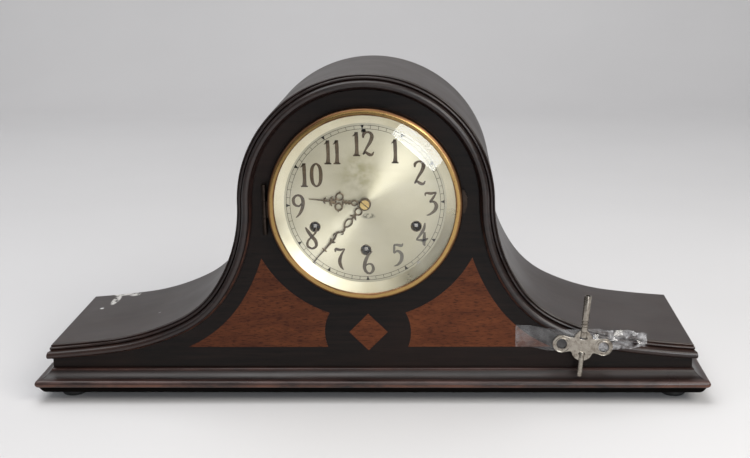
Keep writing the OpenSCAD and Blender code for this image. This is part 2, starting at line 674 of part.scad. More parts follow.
// ---- Pendulum: hangs on a strip of suspension spring from the cock ----
bob_z = verge_p[1] - 142;
bob_t = 8;
bob_sphere_r = 38;
bob_edge = 25.5;
module suspension_cock() in_case() color(brass) {
    z = verge_p[1] + 2.2;
    translate([-5, movement_rear_y, z]) cube([10, pend_y + 3 - movement_rear_y, 5]);
    translate([-5, movement_rear_y, z]) cube([10, 2, 7]);
}
module pendulum_rod() in_case() color(steel) {
    z = verge_p[1];
    translate([-0.2, pend_y - 2.5, z - 9]) cube([0.4, 5, 10.9]);
    translate([-2.5, pend_y - 2, z - 12]) cube([5, 4, 3.2]);
    translate([0, pend_y, bob_z - 24]) cylinder(r = pend_rod_r, h = z - 11 - bob_z + 24);
    translate([0, pend_y, bob_z - 22]) cylinder(r = 3.2, h = 2.5);
}
module pendulum_bob() in_case() color(brass) translate([0, pend_y, bob_z]) difference() {
    rotate([-90, 0, 0]) rotate_extrude($fn = 96) polygon(concat(
        arc([0, bob_t / 2 - bob_sphere_r], bob_sphere_r, 90, 90 - bob_edge, 6),
        arc([0, bob_sphere_r - bob_t / 2], bob_sphere_r, bob_edge - 90, -90, 6)
    ));
    translate([0, 0, -20]) cylinder(r = pend_rod_r, h = 40);
}

// ---- Strike train ----
// A fly is a thin vane that brakes the train in the air.
module fly(p, phase, vane_r, y0, y1) {
    arbor(p, 0.85);
    pinion(p, fast_leaves, train_m, phase, fast_y - 1, 3.2);
    bar_y(p, 1.5, y0, y1);
    translate([p[0] - vane_r, y0, p[1] - 0.3]) cube([2 * vane_r, y1 - y0, 0.6]);
}
module strike_wheel() in_case() color(brass) {
    phase = mesh_phase(barrel_teeth, 0, 105, train_leaves);
    arbor(strike_wheel_p, 1.2);
    pinion(strike_wheel_p, train_leaves, barrel_m, phase, side_wheel_y - 1, 4);
    crossed_wheel(strike_wheel_p, third_teeth, train_m, fast_y, wheel_t, 4);
    for (a = [0:45:315]) bar_y(strike_wheel_p + 12 * dir(a), 0.5, fast_y, fast_y + 5);
}
module strike_fly() in_case() color(brass)
    fly(strike_fly_p, mesh_phase(third_teeth, 0, 60, fast_leaves), 9, plate_back_y + 5, plate_back_y + 19);

// ---- Chime train: the pinned drum lifts one hammer for each rod ----
rod_pitch = 8;
rod_first_y = plate_back_y + 12;
hammer_ys = [for (i = [0:2]) rod_first_y + rod_pitch * i];
drum_r = 6.4;
drum_pin_r = 8;
module chime_drum() in_case() color(brass) {
    phase = mesh_phase(barrel_teeth, 0, -72, drum_leaves);
    arbor(drum_p, 1.2);
    pinion(drum_p, drum_leaves, barrel_m, phase, side_wheel_y - 1, 4);
    crossed_wheel(drum_p, third_teeth, train_m, fast_y, wheel_t, 4);
    bar_y(drum_p, drum_r, rod_first_y - 4, rod_first_y + 2 * rod_pitch + 2.5);
    for (i = [0:2], a = [0:60:300]) translate([drum_p[0], hammer_ys[i], drum_p[1]])
        rotate([0, a + 20 * i, 0]) cylinder(r = 0.5, h = drum_pin_r);
}
module chime_fly() in_case() color(brass)
    fly(chime_fly_p, mesh_phase(third_teeth, 0, -170, fast_leaves), 5.6, plate_back_y + 1.5, plate_back_y + 8);

// Each hammer turns on the hammer rod. Its tail reaches up to the drum and its head hangs over a rod.
rod_z = 62;
rod_r = 1.25;
head_x = -14;
head_gap = 3;
function unit(v) = v / norm(v);
module hammer(i) in_case() color(steel) {
    y = hammer_ys[i];
    to_drum = unit(drum_p - hammer_p);
    tail_len = norm(drum_p - hammer_p) - drum_pin_r - 1;
    head_p = [head_x, rod_z + rod_r + head_gap];
    plate_y(y - 0.8, 1.6) difference() {
        union() {
            translate(hammer_p) circle(3.5);
            translate(hammer_p) rotate(angle_to(hammer_p, drum_p)) translate([0, -1]) square([tail_len, 2]);
            elbow = head_p + [0, 14];
            translate(hammer_p) rotate(angle_to(hammer_p, elbow)) translate([0, -1.2])
                square([norm(elbow - hammer_p), 2.4]);
        }
        translate(hammer_p) circle(1.5 + run_fit);
        translate(head_p) translate([-2.5, 0]) square([5, 14.5]);
    }
    translate([head_p[0], y, head_p[1]]) cylinder(r = 3.2, h = 14.5);
}
module hammer_1() hammer(0);
module hammer_2() hammer(1);
module hammer_3() hammer(2);

module chime_block() in_case() color([0.2, 0.2, 0.2]) difference() {
    translate([-84, rod_first_y - 8, base_top]) cube([34, 2 * rod_pitch + 16, rod_z + 8 - base_top]);
    for (y = hammer_ys) translate([-60, y, rod_z]) rotate([0, 90, 0]) cylinder(r = rod_r, h = 20);
}
module chime_rods() in_case() color(steel) for (i = [0:2])
    translate([-60, hammer_ys[i], rod_z]) rotate([0, 90, 0]) cylinder(r = rod_r, h = 200 - 22 * i);

// ---- The double-ended winding key, held to the moulding by a strip of clear tape ----
key_p = [179.3, 51.5];
key_y = -13;
key_tilt = -5;
key_t = 1.6;
// The key's wings stand this far to each side of its barrels.
key_wing = 17.4;
module key_plate_2d() difference() {
    union() {
        for (s = [-1, 1]) translate([key_wing * s, 0]) circle(7.6);
        translate([0, 5.2]) circle(7.6);
        translate([0, -4.6]) circle(8.8);
        square([2 * key_wing, 12], center = true);
    }
    for (s = [-1, 1]) translate([key_wing * s, 0]) circle(4.4);
}
small_square = 2.1;
module on_key() translate([key_p[0], key_y, key_p[1]]) rotate([0, -key_tilt, 0]) children();
// The long barrel's square hole fits the three winding arbors. The short one's hole is smaller.
module key_barrels() on_key() {
    translate([0, 0, 7]) cylinder(r = 2.95, h = 36);
    translate([0, 0, -26.8]) cylinder(r = 2.3, h = 21.3);
}
module winding_key() in_case() color([0.7, 0.69, 0.66]) difference() {
    union() {
        plate_y(key_y - key_t / 2, key_t) translate(key_p) rotate(key_tilt) key_plate_2d();
        key_barrels();
    }
    on_key() {
        translate([-key_square / 2, -key_square / 2, 33]) cube([key_square, key_square, 12]);
        translate([-small_square / 2, -small_square / 2, -28]) cube([small_square, small_square, 9]);
    }
}
// The strip starts on the panel, passes behind the key's wings and ends on the moulding's nose.
tape_t = 0.3;
tape_z = [46, 65];
tape_behind_y = key_y + (key_t + tape_t) / 2;
tape_path = [
    [124.5, -tape_t / 2], [137, -tape_t / 2], [149, -9.3], [161, tape_behind_y],
    [200, tape_behind_y], [212, -mould_d - tape_t / 2], [232.5, -mould_d - tape_t / 2]
];
module key_tape() in_case() color([0.9, 0.9, 0.92, 0.3]) difference() {
    last = len(tape_path) - 1;
    translate([0, 0, tape_z[0]]) linear_extrude(tape_z[1] - tape_z[0]) polygon(concat(
        [for (p = tape_path) p - [0, tape_t / 2]],
        [for (i = [last:-1:0]) tape_path[i] + [0, tape_t / 2]]
    ));
    key_barrels();
}

base_board();
base_moulding();
feet();
front_panel();
inlay_left();
inlay_right();
inlay_diamond();
front_moulding();
top_skin();
end_panels();
back_panel();
dial_plate();
dial_screws();
bezel_hinge_fixed();
movement_front_plate();
movement_back_plate();
plate_pillars();
plate_nuts();
mounting_posts();
suspension_cock();
chime_block();
chime_rods();
back_hinge_fixed();
bezel_ring();
bezel_sight_ring();
bezel_glass();
bezel_hinge_moving();
bezel_catch();
back_door();
back_hinge_moving();
back_door_knob();
back_door_button();
cannon_pinion();
minute_hand();
hand_nut();
minute_wheel();
hour_wheel();
hour_hand();
time_barrel();
time_winding_arbor();
second_wheel();
centre_wheel();
third_wheel();
escape_wheel();
verge();
pendulum_rod();
pendulum_bob();
strike_barrel();
strike_winding_arbor();
strike_wheel();
strike_fly();
chime_barrel();
chime_winding_arbor();
chime_drum();
chime_fly();
hammer_1();
hammer_2();
hammer_3();
winding_key();
key_tape();
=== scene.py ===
import json
import math

import bmesh
import bpy
from mathutils import Matrix, Vector, noise


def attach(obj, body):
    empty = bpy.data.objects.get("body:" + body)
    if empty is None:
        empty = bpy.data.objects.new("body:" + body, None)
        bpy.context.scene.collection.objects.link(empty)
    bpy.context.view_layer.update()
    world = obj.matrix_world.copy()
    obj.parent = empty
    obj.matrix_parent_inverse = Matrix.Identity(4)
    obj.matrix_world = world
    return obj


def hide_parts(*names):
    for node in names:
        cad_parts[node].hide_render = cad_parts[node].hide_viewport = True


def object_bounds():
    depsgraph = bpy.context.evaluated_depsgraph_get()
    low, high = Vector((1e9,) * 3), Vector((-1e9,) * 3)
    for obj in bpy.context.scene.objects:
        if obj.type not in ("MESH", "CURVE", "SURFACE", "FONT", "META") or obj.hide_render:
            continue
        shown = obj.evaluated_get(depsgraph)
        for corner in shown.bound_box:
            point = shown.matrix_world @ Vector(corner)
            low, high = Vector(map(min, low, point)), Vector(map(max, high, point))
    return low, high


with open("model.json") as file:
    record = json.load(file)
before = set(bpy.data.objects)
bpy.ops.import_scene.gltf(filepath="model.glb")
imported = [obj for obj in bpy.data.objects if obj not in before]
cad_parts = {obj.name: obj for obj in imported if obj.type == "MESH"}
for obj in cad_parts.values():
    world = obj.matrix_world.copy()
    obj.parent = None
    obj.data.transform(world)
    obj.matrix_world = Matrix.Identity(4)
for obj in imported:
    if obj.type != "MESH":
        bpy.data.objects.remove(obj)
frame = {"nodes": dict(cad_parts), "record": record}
cad_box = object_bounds()

MM = 0.001

# ---- Sizes, in mm, the same as the CAD case's ----
HALF_W = 272.5
CASE_D = 143.0
SKIN_T = 3.0
ARCH_R = 107.0
BASE_LOW = 7.7
BASE_TOP = 28.0
NOSE_SIDE = 13.5
NOSE_FRONT = 16.0
BEZEL_R = 80.5
GLASS_R = 75.9
GLASS_CURVE_R = 365.0
GLASS_T = 2.0
CROWN_Y = -17.5
DIAL_Y = -2.2
HOUR_HAND_Y = -4.4
HOUR_ANGLE = 275.5
HOUR_LEN = 46.6
MINUTE_HAND_Y = -6.2
MINUTE_ANGLE = 221.8
MINUTE_LEN = 66.0
HAND_T = 0.8
# The clock's top is the arch's, and its rearmost piece is the back door's knob.
KNOB_OUT = 4.0
DIAL_Z = round(cad_box[1].z / MM - ARCH_R, 3)
CASE_Y = round(cad_box[1].y / MM - CASE_D - KNOB_OUT, 3)


# ---- Places: the case frame has y = 0 on the front panel's face ----
def place(x, y, z):
    return Vector((x * MM, (y + CASE_Y) * MM, z * MM))


def direction(degrees):
    a = math.radians(degrees)
    return math.cos(a), math.sin(a)


# ---- The tambour outline, the same chain of arcs as the CAD case ----
SWEEP_R = (128.0, 80.0, 191.0, 860.0)
SWEEP_END = (214.7, 244.0, 262.5)


def sweep_centres():
    centres = [(ARCH_R + SWEEP_R[0], DIAL_Z)]
    for i, end in enumerate(SWEEP_END):
        cx, cz = centres[-1]
        ux, uz = direction(end)
        step = SWEEP_R[i] - SWEEP_R[i + 1]
        centres.append((cx + step * ux, cz + step * uz))
    return centres


def arc_points(centre, radius, a0, a1, steps):
    points = []
    for i in range(steps + 1):
        ux, uz = direction(a0 + (a1 - a0) * i / steps)
        points.append((centre[0] + radius * ux, centre[1] + radius * uz))
    return points


def half_outline(offset, width):
    """The right half of the outline from the top to x = width, offset outwards in mm."""
    c1, c2, c3, c4 = sweep_centres()
    last = 360.0 - math.degrees(math.acos((width - c4[0]) / (SWEEP_R[3] - offset)))
    points = arc_points((0.0, DIAL_Z), ARCH_R + offset, 90.0, 0.0, 90)
    points += arc_points(c1, SWEEP_R[0] - offset, 180.0, SWEEP_END[0], 40)[1:]
    points += arc_points(c2, SWEEP_R[1] - offset, SWEEP_END[0], SWEEP_END[1], 30)[1:]
    points += arc_points(c3, SWEEP_R[2] - offset, SWEEP_END[1], SWEEP_END[2], 20)[1:]
    points += arc_points(c4, SWEEP_R[3] - offset, SWEEP_END[2], last, 16)[1:]
    return points


def whole_outline(offset, width):
    right = half_outline(offset, width)
    left = [(-x, z) for x, z in reversed(right[1:])]
    return left + right


# ---- Making pieces ----
def ring_faces(rings, rows, closed, start=0):
    """Faces between neighbouring rings of vertices. A run that isn't closed gets a cap at each end."""
    faces = []
    for i in range(rings if closed else rings - 1):
        j = (i + 1) % rings
        for k in range(rows):
            n = (k + 1) % rows
            corners = (i * rows + k, i * rows + n, j * rows + n, j * rows + k)
            faces.append(tuple(start + corner for corner in corners))
    if not closed:
        last = start + (rings - 1) * rows
        faces.append(tuple(range(start, start + rows)))
        faces.append(tuple(range(last, last + rows)))
    return faces


def finish_mesh(name, verts, faces, material, body, smooth_angle=35.0):
    mesh = bpy.data.meshes.new(name)
    mesh.from_pydata([tuple(v) for v in verts], [], faces)
    mesh.validate()
    mesh.update()
    obj = bpy.data.objects.new(name, mesh)
    bpy.context.scene.collection.objects.link(obj)
    mesh.materials.append(material)
    repair_normals(mesh)
    mesh.shade_smooth()
    mesh.set_sharp_from_angle(angle=math.radians(smooth_angle))
    if body:
        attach(obj, body)
    return obj


def repair_normals(mesh):
    bm = bmesh.new()
    bm.from_mesh(mesh)
    bmesh.ops.recalc_face_normals(bm, faces=bm.faces)
    bm.to_mesh(mesh)
    bm.free()


def sweep_case(name, section, width, material, body, wobble=0.0, lip=0.0):
    """A closed section of (offset, y) carried along the whole tambour outline.

    lip is how much further each end reaches for every mm the section stands forward of the panel.
    """
    lines = [whole_outline(offset, width + lip * max(-y, 0.0)) for offset, y in section]
    count = len(lines[0])
    rows = len(section)
    verts = []
    for i in range(count):
        for k in range(rows):
            x, z = lines[k][i]
            dent = wobble * noise.noise(Vector((x * 0.05, z * 0.05, k * 0.7)))
            verts.append(place(x, section[k][1] + dent, z))
    return finish_mesh(name, verts, ring_faces(count, rows, False), material, body)


def lathe(name, section, centre, axis, material, body, steps=180):
    """A closed section of (radius, along) turned about an axis through centre."""
    axis = Vector(axis).normalized()
    side = axis.orthogonal().normalized()
    other = axis.cross(side)
    verts = []
    for i in range(steps):
        c, s = direction(360.0 * i / steps)
        for radius, along in section:
            verts.append(centre + axis * (along * MM) + (side * c + other * s) * (radius * MM))
    return finish_mesh(name, verts, ring_faces(steps, len(section), True), material, body)


def dial_lathe(name, section, material, body):
    """A section of (radius, case y) turned about the dial's axis."""
    return lathe(name, section, place(0, 0, DIAL_Z), (0, 1, 0), material, body)


def spline_points(points, steps, closed):
    """A Catmull-Rom curve through points of any dimension."""
    out = []
    count = len(points)
    spans = count if closed else count - 1
    for i in range(spans):
        p = []
        for k in (-1, 0, 1, 2):
            index = (i + k) % count if closed else min(max(i + k, 0), count - 1)
            p.append(points[index])
        for s in range(steps):
            t = s / steps
            out.append(tuple(
                0.5 * (2 * b + (c - a) * t + (2 * a - 5 * b + 4 * c - d) * t * t
                       + (3 * b - a - 3 * c + d) * t ** 3)
                for a, b, c, d in zip(*p)
            ))
    if not closed:
        out.append(tuple(points[-1]))
    return out


class Flat:
    """Collects thin ribbons drawn in the dial's plane, each with a raised middle, into one piece."""

    def __init__(self, face_y, thick, crown=0.0):
        self.face_y = face_y
        self.thick = thick
        self.crown = crown
        self.verts = []
        self.faces = []

    def ribbon(self, points, closed=False, smooth=True, lift=0.0):
        """points are (x, z, width) about the dial's centre."""
        path = spline_points(points, 8, closed) if smooth else list(points)
        count = len(path)
        start = len(self.verts)
        for i, (x, z, width) in enumerate(path):
            a = path[(i - 1) % count] if closed or i > 0 else path[0]
            b = path[(i + 1) % count] if closed or i < count - 1 else path[-1]
            dx, dz = b[0] - a[0], b[1] - a[1]
            size = math.hypot(dx, dz) or 1.0
            nx, nz = -dz / size * width / 2, dx / size * width / 2
            front = self.face_y - lift
            back = front + self.thick
            self.verts += [
                place(x + nx, front, z + nz + DIAL_Z),
                place(x, front - self.crown, z + DIAL_Z),
                place(x - nx, front, z - nz + DIAL_Z),
                place(x - nx, back, z - nz + DIAL_Z),
                place(x + nx, back, z + nz + DIAL_Z),
            ]
        self.faces += ring_faces(count, 5, closed, start)

    def ring(self, x, z, radius, width, lift=0.0):
        points = []
        for i in range(12):
            c, s = direction(30.0 * i)
            points.append((x + radius * c, z + radius * s, width))
        self.ribbon(points, closed=True, lift=lift)

    def make(self, name, material, body):
        return finish_mesh(name, self.verts, self.faces, material, body, 30.0)


class Turned(Flat):
    """A Flat whose x axis points along a hand at a clock angle."""

    def __init__(self, face_y, thick, crown, angle, bold=1.0):
        super().__init__(face_y, thick, crown)
        self.bold = bold
        self.cos, self.sin = direction(90.0 - angle)

    def ribbon(self, points, closed=False, smooth=True, lift=0.0):
        turned = [(u * self.cos - v * self.sin, u * self.sin + v * self.cos, w) for u, v, w in points]
        super().ribbon([(x, z, w * self.bold) for x, z, w in turned], closed, smooth, lift)

    def barbs(self, side, middle, lift):
        """A ribbon across the hand, given by the points of one side and the one on its middle line."""
        other = [(u, -v, width) for u, v, width in side]
        self.ribbon(other + [middle] + side[::-1], lift=lift)


# ---- Material nodes ----
def new_material(name):
    material = bpy.data.materials.new(name)
    material.use_nodes = True
    tree = material.node_tree
    return material, tree, tree.nodes["Principled BSDF"]


def add(tree, kind, **settings):
    made = tree.nodes.new(kind)
    for key, value in settings.items():
        setattr(made, key, value)
    return made


def grain(tree, scale, detail=4.0, rough=0.55, stretch=(1, 1, 1), distortion=0.0):
    """Noise in the object's own metres. A stretch below 1 draws it out along that axis."""
    source = add(tree, "ShaderNodeTexCoord")
    mapping = add(tree, "ShaderNodeMapping")
    mapping.inputs["Scale"].default_value = stretch
    tree.links.new(source.outputs["Object"], mapping.inputs["Vector"])
    made = add(tree, "ShaderNodeTexNoise")
    made.inputs["Scale"].default_value = scale
    made.inputs["Detail"].default_value = detail
    made.inputs["Roughness"].default_value = rough
    made.inputs["Distortion"].default_value = distortion
    tree.links.new(mapping.outputs["Vector"], made.inputs["Vector"])
    return made.outputs["Fac"]


def ramp(tree, source, stops):
    made = add(tree, "ShaderNodeValToRGB")
    elements = made.color_ramp.elements
    for i, (position, colour) in enumerate(stops):
        element = elements[i] if i < 2 else elements.new(position)
        element.position = position
        element.color = (*colour, 1.0)
    tree.links.new(source, made.inputs["Fac"])
    return made.outputs["Color"]


def grey(value):
    return (value, value, value)


def blend(tree, factor, a, b):
    """a where the factor is 0 and b where it is 1. Each is a socket or a colour."""
    made = add(tree, "ShaderNodeMix", data_type="RGBA")
    tree.links.new(factor, made.inputs["Factor"])
    for socket, value in ((made.inputs["A"], a), (made.inputs["B"], b)):
        if isinstance(value, tuple):
            socket.default_value = (*value, 1.0)
        else:
            tree.links.new(value, socket)
    return made.outputs["Result"]


def maths(tree, operation, a, b=None, clamp=False):
    made = add(tree, "ShaderNodeMath", operation=operation, use_clamp=clamp)
    for socket, value in zip(made.inputs, (a, b)):
        if value is None:
            continue
        if isinstance(value, (int, float)):
            socket.default_value = value
        else:
            tree.links.new(value, socket)
    return made.outputs["Value"]


def spread(tree, source, low, high, to_low=0.0, to_high=1.0):
    made = add(tree, "ShaderNodeMapRange")
    made.inputs["From Min"].default_value = low
    made.inputs["From Max"].default_value = high
    made.inputs["To Min"].default_value = to_low
    made.inputs["To Max"].default_value = to_high
    tree.links.new(source, made.inputs["Value"])
    return made.outputs["Result"]


def distance(tree, point, flatten):
    """The distance from a point, in metres. flatten scales each axis' part in it."""
    source = add(tree, "ShaderNodeTexCoord")
    offset = add(tree, "ShaderNodeVectorMath", operation="SUBTRACT")
    offset.inputs[1].default_value = tuple(point)
    tree.links.new(source.outputs["Object"], offset.inputs[0])
    scaled = add(tree, "ShaderNodeVectorMath", operation="MULTIPLY")
    scaled.inputs[1].default_value = flatten
    tree.links.new(offset.outputs["Vector"], scaled.inputs[0])
    length = add(tree, "ShaderNodeVectorMath", operation="LENGTH")
    tree.links.new(scaled.outputs["Vector"], length.inputs[0])
    return length.outputs["Value"]


def near(tree, point, reach, flatten=(1, 1, 1)):
    """1 at a point, falling to 0 at reach, in metres."""
    return spread(tree, distance(tree, point, flatten), 0.0, reach, 1.0, 0.0)


def dial_radius(tree):
    return distance(tree, (0, 0, DIAL_Z * MM), (1, 0, 1))


def axis_part(tree, axis):
    source = add(tree, "ShaderNodeTexCoord")
    parts = add(tree, "ShaderNodeSeparateXYZ")
    tree.links.new(source.outputs["Object"], parts.inputs["Vector"])
    return parts.outputs[axis]


def roughen(tree, bsdf, height, strength, depth_mm):
    made = add(tree, "ShaderNodeBump")
    made.inputs["Strength"].default_value = strength
    made.inputs["Distance"].default_value = depth_mm * MM
    tree.links.new(height, made.inputs["Height"])
    tree.links.new(made.outputs["Normal"], bsdf.inputs["Normal"])


# ---- Materials ----
def stained_wood(name, dark, light, wear, wear_amount, low_rough=0.3, high_rough=0.46, shine=0.16):
    """Dark stained mahogany: long grain, open pores and worn patches, under an old thin lacquer."""
    material, tree, bsdf = new_material(name)
    figure = grain(tree, 260, 6, 0.6, (0.06, 1, 1), 0.4)
    pores = grain(tree, 900, 2, 0.5, (0.05, 1, 1))
    cloud = grain(tree, 9, 3, 0.5)
    colour = ramp(tree, figure, [(0.3, dark), (0.72, light)])
    colour = blend(tree, spread(tree, pores, 0.6, 0.72), colour, tuple(c * 0.35 for c in dark))
    worn = maths(tree, "MULTIPLY", spread(tree, cloud, 0.5, 0.75), wear_amount, clamp=True)
    colour = blend(tree, worn, colour, wear)
    tree.links.new(colour, bsdf.inputs["Base Color"])
    tree.links.new(spread(tree, cloud, 0.3, 0.7, low_rough, high_rough), bsdf.inputs["Roughness"])
    bsdf.inputs["Specular IOR Level"].default_value = shine
    roughen(tree, bsdf, pores, 0.25, 0.12)
    return material


def moulding_wood(name, bands):
    """Dark moulding wood. Each band is (low z, high z, strength, colour), a lighter patchy band: mostly wear
    from hands and dusters; the base's nose-top band is a painted highlight.
    """
    material, tree, bsdf = new_material(name)
    figure = grain(tree, 300, 5, 0.6, (0.05, 1, 1))
    colour = ramp(tree, figure, [(0.3, (0.005, 0.003, 0.003)), (0.75, (0.02, 0.01, 0.008))])
    z = axis_part(tree, "Z")
    patch = spread(tree, grain(tree, 70, 6, 0.7, (0.35, 1, 1)), 0.36, 0.62)
    for low_z, high_z, strength, tone in bands:
        middle = (low_z + high_z) / 2 * MM
        half = (high_z - low_z) / 2 * MM
        level = maths(tree, "ABSOLUTE", maths(tree, "SUBTRACT", z, middle))
        band = spread(tree, level, half, half * 0.3)
        # The patchy band mask: wear, and on the base's nose top a painted highlight.
        patchy = maths(tree, "MULTIPLY", maths(tree, "MULTIPLY", band, patch), strength, clamp=True)
        colour = blend(tree, patchy, colour, tone)
    tree.links.new(colour, bsdf.inputs["Base Color"])
    tree.links.new(spread(tree, grain(tree, 14, 3), 0.3, 0.7, 0.26, 0.4), bsdf.inputs["Roughness"])
    bsdf.inputs["Specular IOR Level"].default_value = 0.42
    bsdf.inputs["Coat Weight"].default_value = 0.12
    bsdf.inputs["Coat Roughness"].default_value = 0.2
    roughen(tree, bsdf, figure, 0.12, 0.1)
    return material


def skin_wood():
    """The bent top skin, with a splash of white paint and a few specks at the left rear."""
    material, tree, bsdf = new_material("skin_wood")
    figure = grain(tree, 240, 6, 0.6, (0.05, 0.9, 0.5), 0.3)
    colour = ramp(tree, figure, [(0.3, (0.012, 0.008, 0.007)), (0.75, (0.034, 0.02, 0.015))])
    torn = spread(tree, grain(tree, 150, 4, 0.7), 0.44, 0.5)
    marks = [((-247.5, 124, 50.8), 0.009, (2.2, 0.5, 1)), ((-247, 141, 50.8), 0.005, (0.7, 1.2, 1)),
             ((-239, 140, 51.6), 0.009, (0.7, 2.6, 1)), ((-232, 136, 52.4), 0.005, (0.8, 1, 1))]
    for spot, reach, flatten in marks:
        splash = spread(tree, near(tree, place(*spot), reach, flatten), 0.0, 0.3)
        colour = blend(tree, maths(tree, "MULTIPLY", splash, torn), colour, (0.62, 0.6, 0.57))
    for spot, reach, tone in (((-254.8, 99, 50.1), 0.0026, 0.7), ((-189.7, 53, 60.4), 0.0018, 0.3)):
        speck = spread(tree, near(tree, place(*spot), reach), 0.1, 0.5)
        colour = blend(tree, speck, colour, grey(tone))
    tree.links.new(colour, bsdf.inputs["Base Color"])
    tree.links.new(spread(tree, grain(tree, 12, 3), 0.3, 0.7, 0.34, 0.44), bsdf.inputs["Roughness"])
    bsdf.inputs["Specular IOR Level"].default_value = 0.6
    roughen(tree, bsdf, figure, 0.1, 0.08)
    return material


def inlay_wood(name, dark, light):
    """Red-brown mahogany veneer with short fine flecks along the grain."""
    material, tree, bsdf = new_material(name)
    flecks = grain(tree, 900, 3, 0.62, (0.2, 1, 1))
    bands = grain(tree, 130, 5, 0.62, (0.22, 1, 1), 0.5)
    colour = ramp(tree, bands, [(0.3, dark), (0.7, light)])
    colour = blend(tree, spread(tree, flecks, 0.5, 0.66, 0, 0.75), colour, tuple(c * 0.28 for c in dark))
    tree.links.new(colour, bsdf.inputs["Base Color"])
    tree.links.new(spread(tree, flecks, 0.3, 0.7, 0.38, 0.52), bsdf.inputs["Roughness"])
    bsdf.inputs["Specular IOR Level"].default_value = 0.15
    roughen(tree, bsdf, flecks, 0.25, 0.08)
    return material


def metal(name, bright, tarnish, low_rough, high_rough, patches=60.0):
    """A worn metal with tarnish in clouds and fine scratches."""
    material, tree, bsdf = new_material(name)
    cloud = grain(tree, patches, 5, 0.62)
    scratches = grain(tree, 1400, 2, 0.5)
    colour = blend(tree, spread(tree, cloud, 0.42, 0.72), bright, tarnish)
    tree.links.new(colour, bsdf.inputs["Base Color"])
    mottled = maths(tree, "MULTIPLY", maths(tree, "ADD", cloud, scratches), 0.5)
    tree.links.new(spread(tree, mottled, 0.35, 0.65, low_rough, high_rough), bsdf.inputs["Roughness"])
    bsdf.inputs["Metallic"].default_value = 1.0
    roughen(tree, bsdf, scratches, 0.12, 0.02)
    return material


def bezel_brass():
    """Brass, darker copper-brown on its outer rim and beside the glass and near-black at the very rim, with
    small dark spots.
    """
    material, tree, bsdf = new_material("bezel_brass")
    uneven = maths(tree, "MULTIPLY", maths(tree, "SUBTRACT", grain(tree, 45, 4), 0.5), 0.003)
    radius = maths(tree, "ADD", dial_radius(tree), uneven)
    outer = spread(tree, radius, 0.0776, 0.0788)
    inner = spread(tree, radius, 0.0758, 0.0751)
    colour = blend(tree, maths(tree, "MAXIMUM", outer, inner), (0.42, 0.27, 0.1), (0.17, 0.085, 0.042))
    colour = blend(tree, spread(tree, radius, 0.0796, 0.0802), colour, (0.06, 0.032, 0.02))
    spots = spread(tree, grain(tree, 420, 3, 0.6), 0.63, 0.72)
    colour = blend(tree, spots, colour, (0.16, 0.08, 0.035))
    tree.links.new(colour, bsdf.inputs["Base Color"])
    tree.links.new(spread(tree, outer, 0, 1, 0.22, 0.4), bsdf.inputs["Roughness"])
    bsdf.inputs["Metallic"].default_value = 1.0
    roughen(tree, bsdf, grain(tree, 700, 3), 0.06, 0.03)
    return material


def silvered_dial():
    """A spun, silvered dial with olive patina, a greenish stain above the hub and a dark mark below it, and
    painted shade that darkens it towards the rim.
    """
    material, tree, bsdf = new_material("silvered_dial")
    patina = grain(tree, 28, 5, 0.6)
    colour = ramp(tree, patina, [(0.3, (0.62, 0.57, 0.42)), (0.7, (0.72, 0.67, 0.53))])
    radius = dial_radius(tree)
    # Painted shade: the dial darkens towards the rim, by the sight ring and bezel.
    colour = blend(tree, spread(tree, radius, 0.05, 0.072, 0, 0.4), colour, (0.42, 0.4, 0.33))
    stain = maths(tree, "MULTIPLY", near(tree, place(-5, -2, DIAL_Z + 24), 0.022, (1, 0, 0.8)),
                  spread(tree, grain(tree, 110, 4), 0.35, 0.6))
    colour = blend(tree, maths(tree, "MULTIPLY", stain, 0.8), colour, (0.34, 0.3, 0.13))
    mark = spread(tree, near(tree, place(2.5, -2, DIAL_Z - 10.5), 0.0045, (0.6, 0, 1.5)), 0.1, 0.7)
    broken = spread(tree, grain(tree, 480, 3), 0.38, 0.5)
    colour = blend(tree, maths(tree, "MULTIPLY", mark, broken), colour, (0.1, 0.09, 0.06))
    tree.links.new(colour, bsdf.inputs["Base Color"])
    tree.links.new(spread(tree, patina, 0.3, 0.7, 0.36, 0.46), bsdf.inputs["Roughness"])
    bsdf.inputs["Metallic"].default_value = 0.72
    bsdf.inputs["Anisotropic"].default_value = 0.85
    bsdf.inputs["Anisotropic Rotation"].default_value = 0.25
    tangent = add(tree, "ShaderNodeTangent", direction_type="RADIAL", axis="Y")
    tree.links.new(tangent.outputs["Tangent"], bsdf.inputs["Tangent"])
    return material


def sight_metal():
    """The dished ring inside the glass: pale brass, polished smoother than the dial."""
    material, tree, bsdf = new_material("sight_metal")
    patina = grain(tree, 40, 4, 0.6)
    colour = ramp(tree, patina, [(0.3, (0.78, 0.7, 0.5)), (0.7, (0.88, 0.82, 0.64))])
    tree.links.new(colour, bsdf.inputs["Base Color"])
    tree.links.new(spread(tree, patina, 0.3, 0.7, 0.26, 0.38), bsdf.inputs["Roughness"])
    bsdf.inputs["Metallic"].default_value = 0.9
    roughen(tree, bsdf, grain(tree, 900, 2), 0.05, 0.02)
    return material


def numeral_paint():
    """Bronzed numerals that have faded to grey towards the lower right."""
    material, tree, bsdf = new_material("numeral_paint")
    patchy = grain(tree, 260, 5, 0.65)
    colour = ramp(tree, patchy, [(0.35, (0.055, 0.034, 0.018)), (0.7, (0.12, 0.082, 0.045))])
    fade = near(tree, place(34, -2, DIAL_Z - 48), 0.055, (1, 0, 1))
    colour = blend(tree, maths(tree, "MULTIPLY", fade, 1.3, clamp=True), colour, (0.13, 0.115, 0.09))
    tree.links.new(colour, bsdf.inputs["Base Color"])
    tree.links.new(spread(tree, patchy, 0.3, 0.7, 0.35, 0.6), bsdf.inputs["Roughness"])
    bsdf.inputs["Metallic"].default_value = 0.2
    roughen(tree, bsdf, patchy, 0.2, 0.03)
    return material


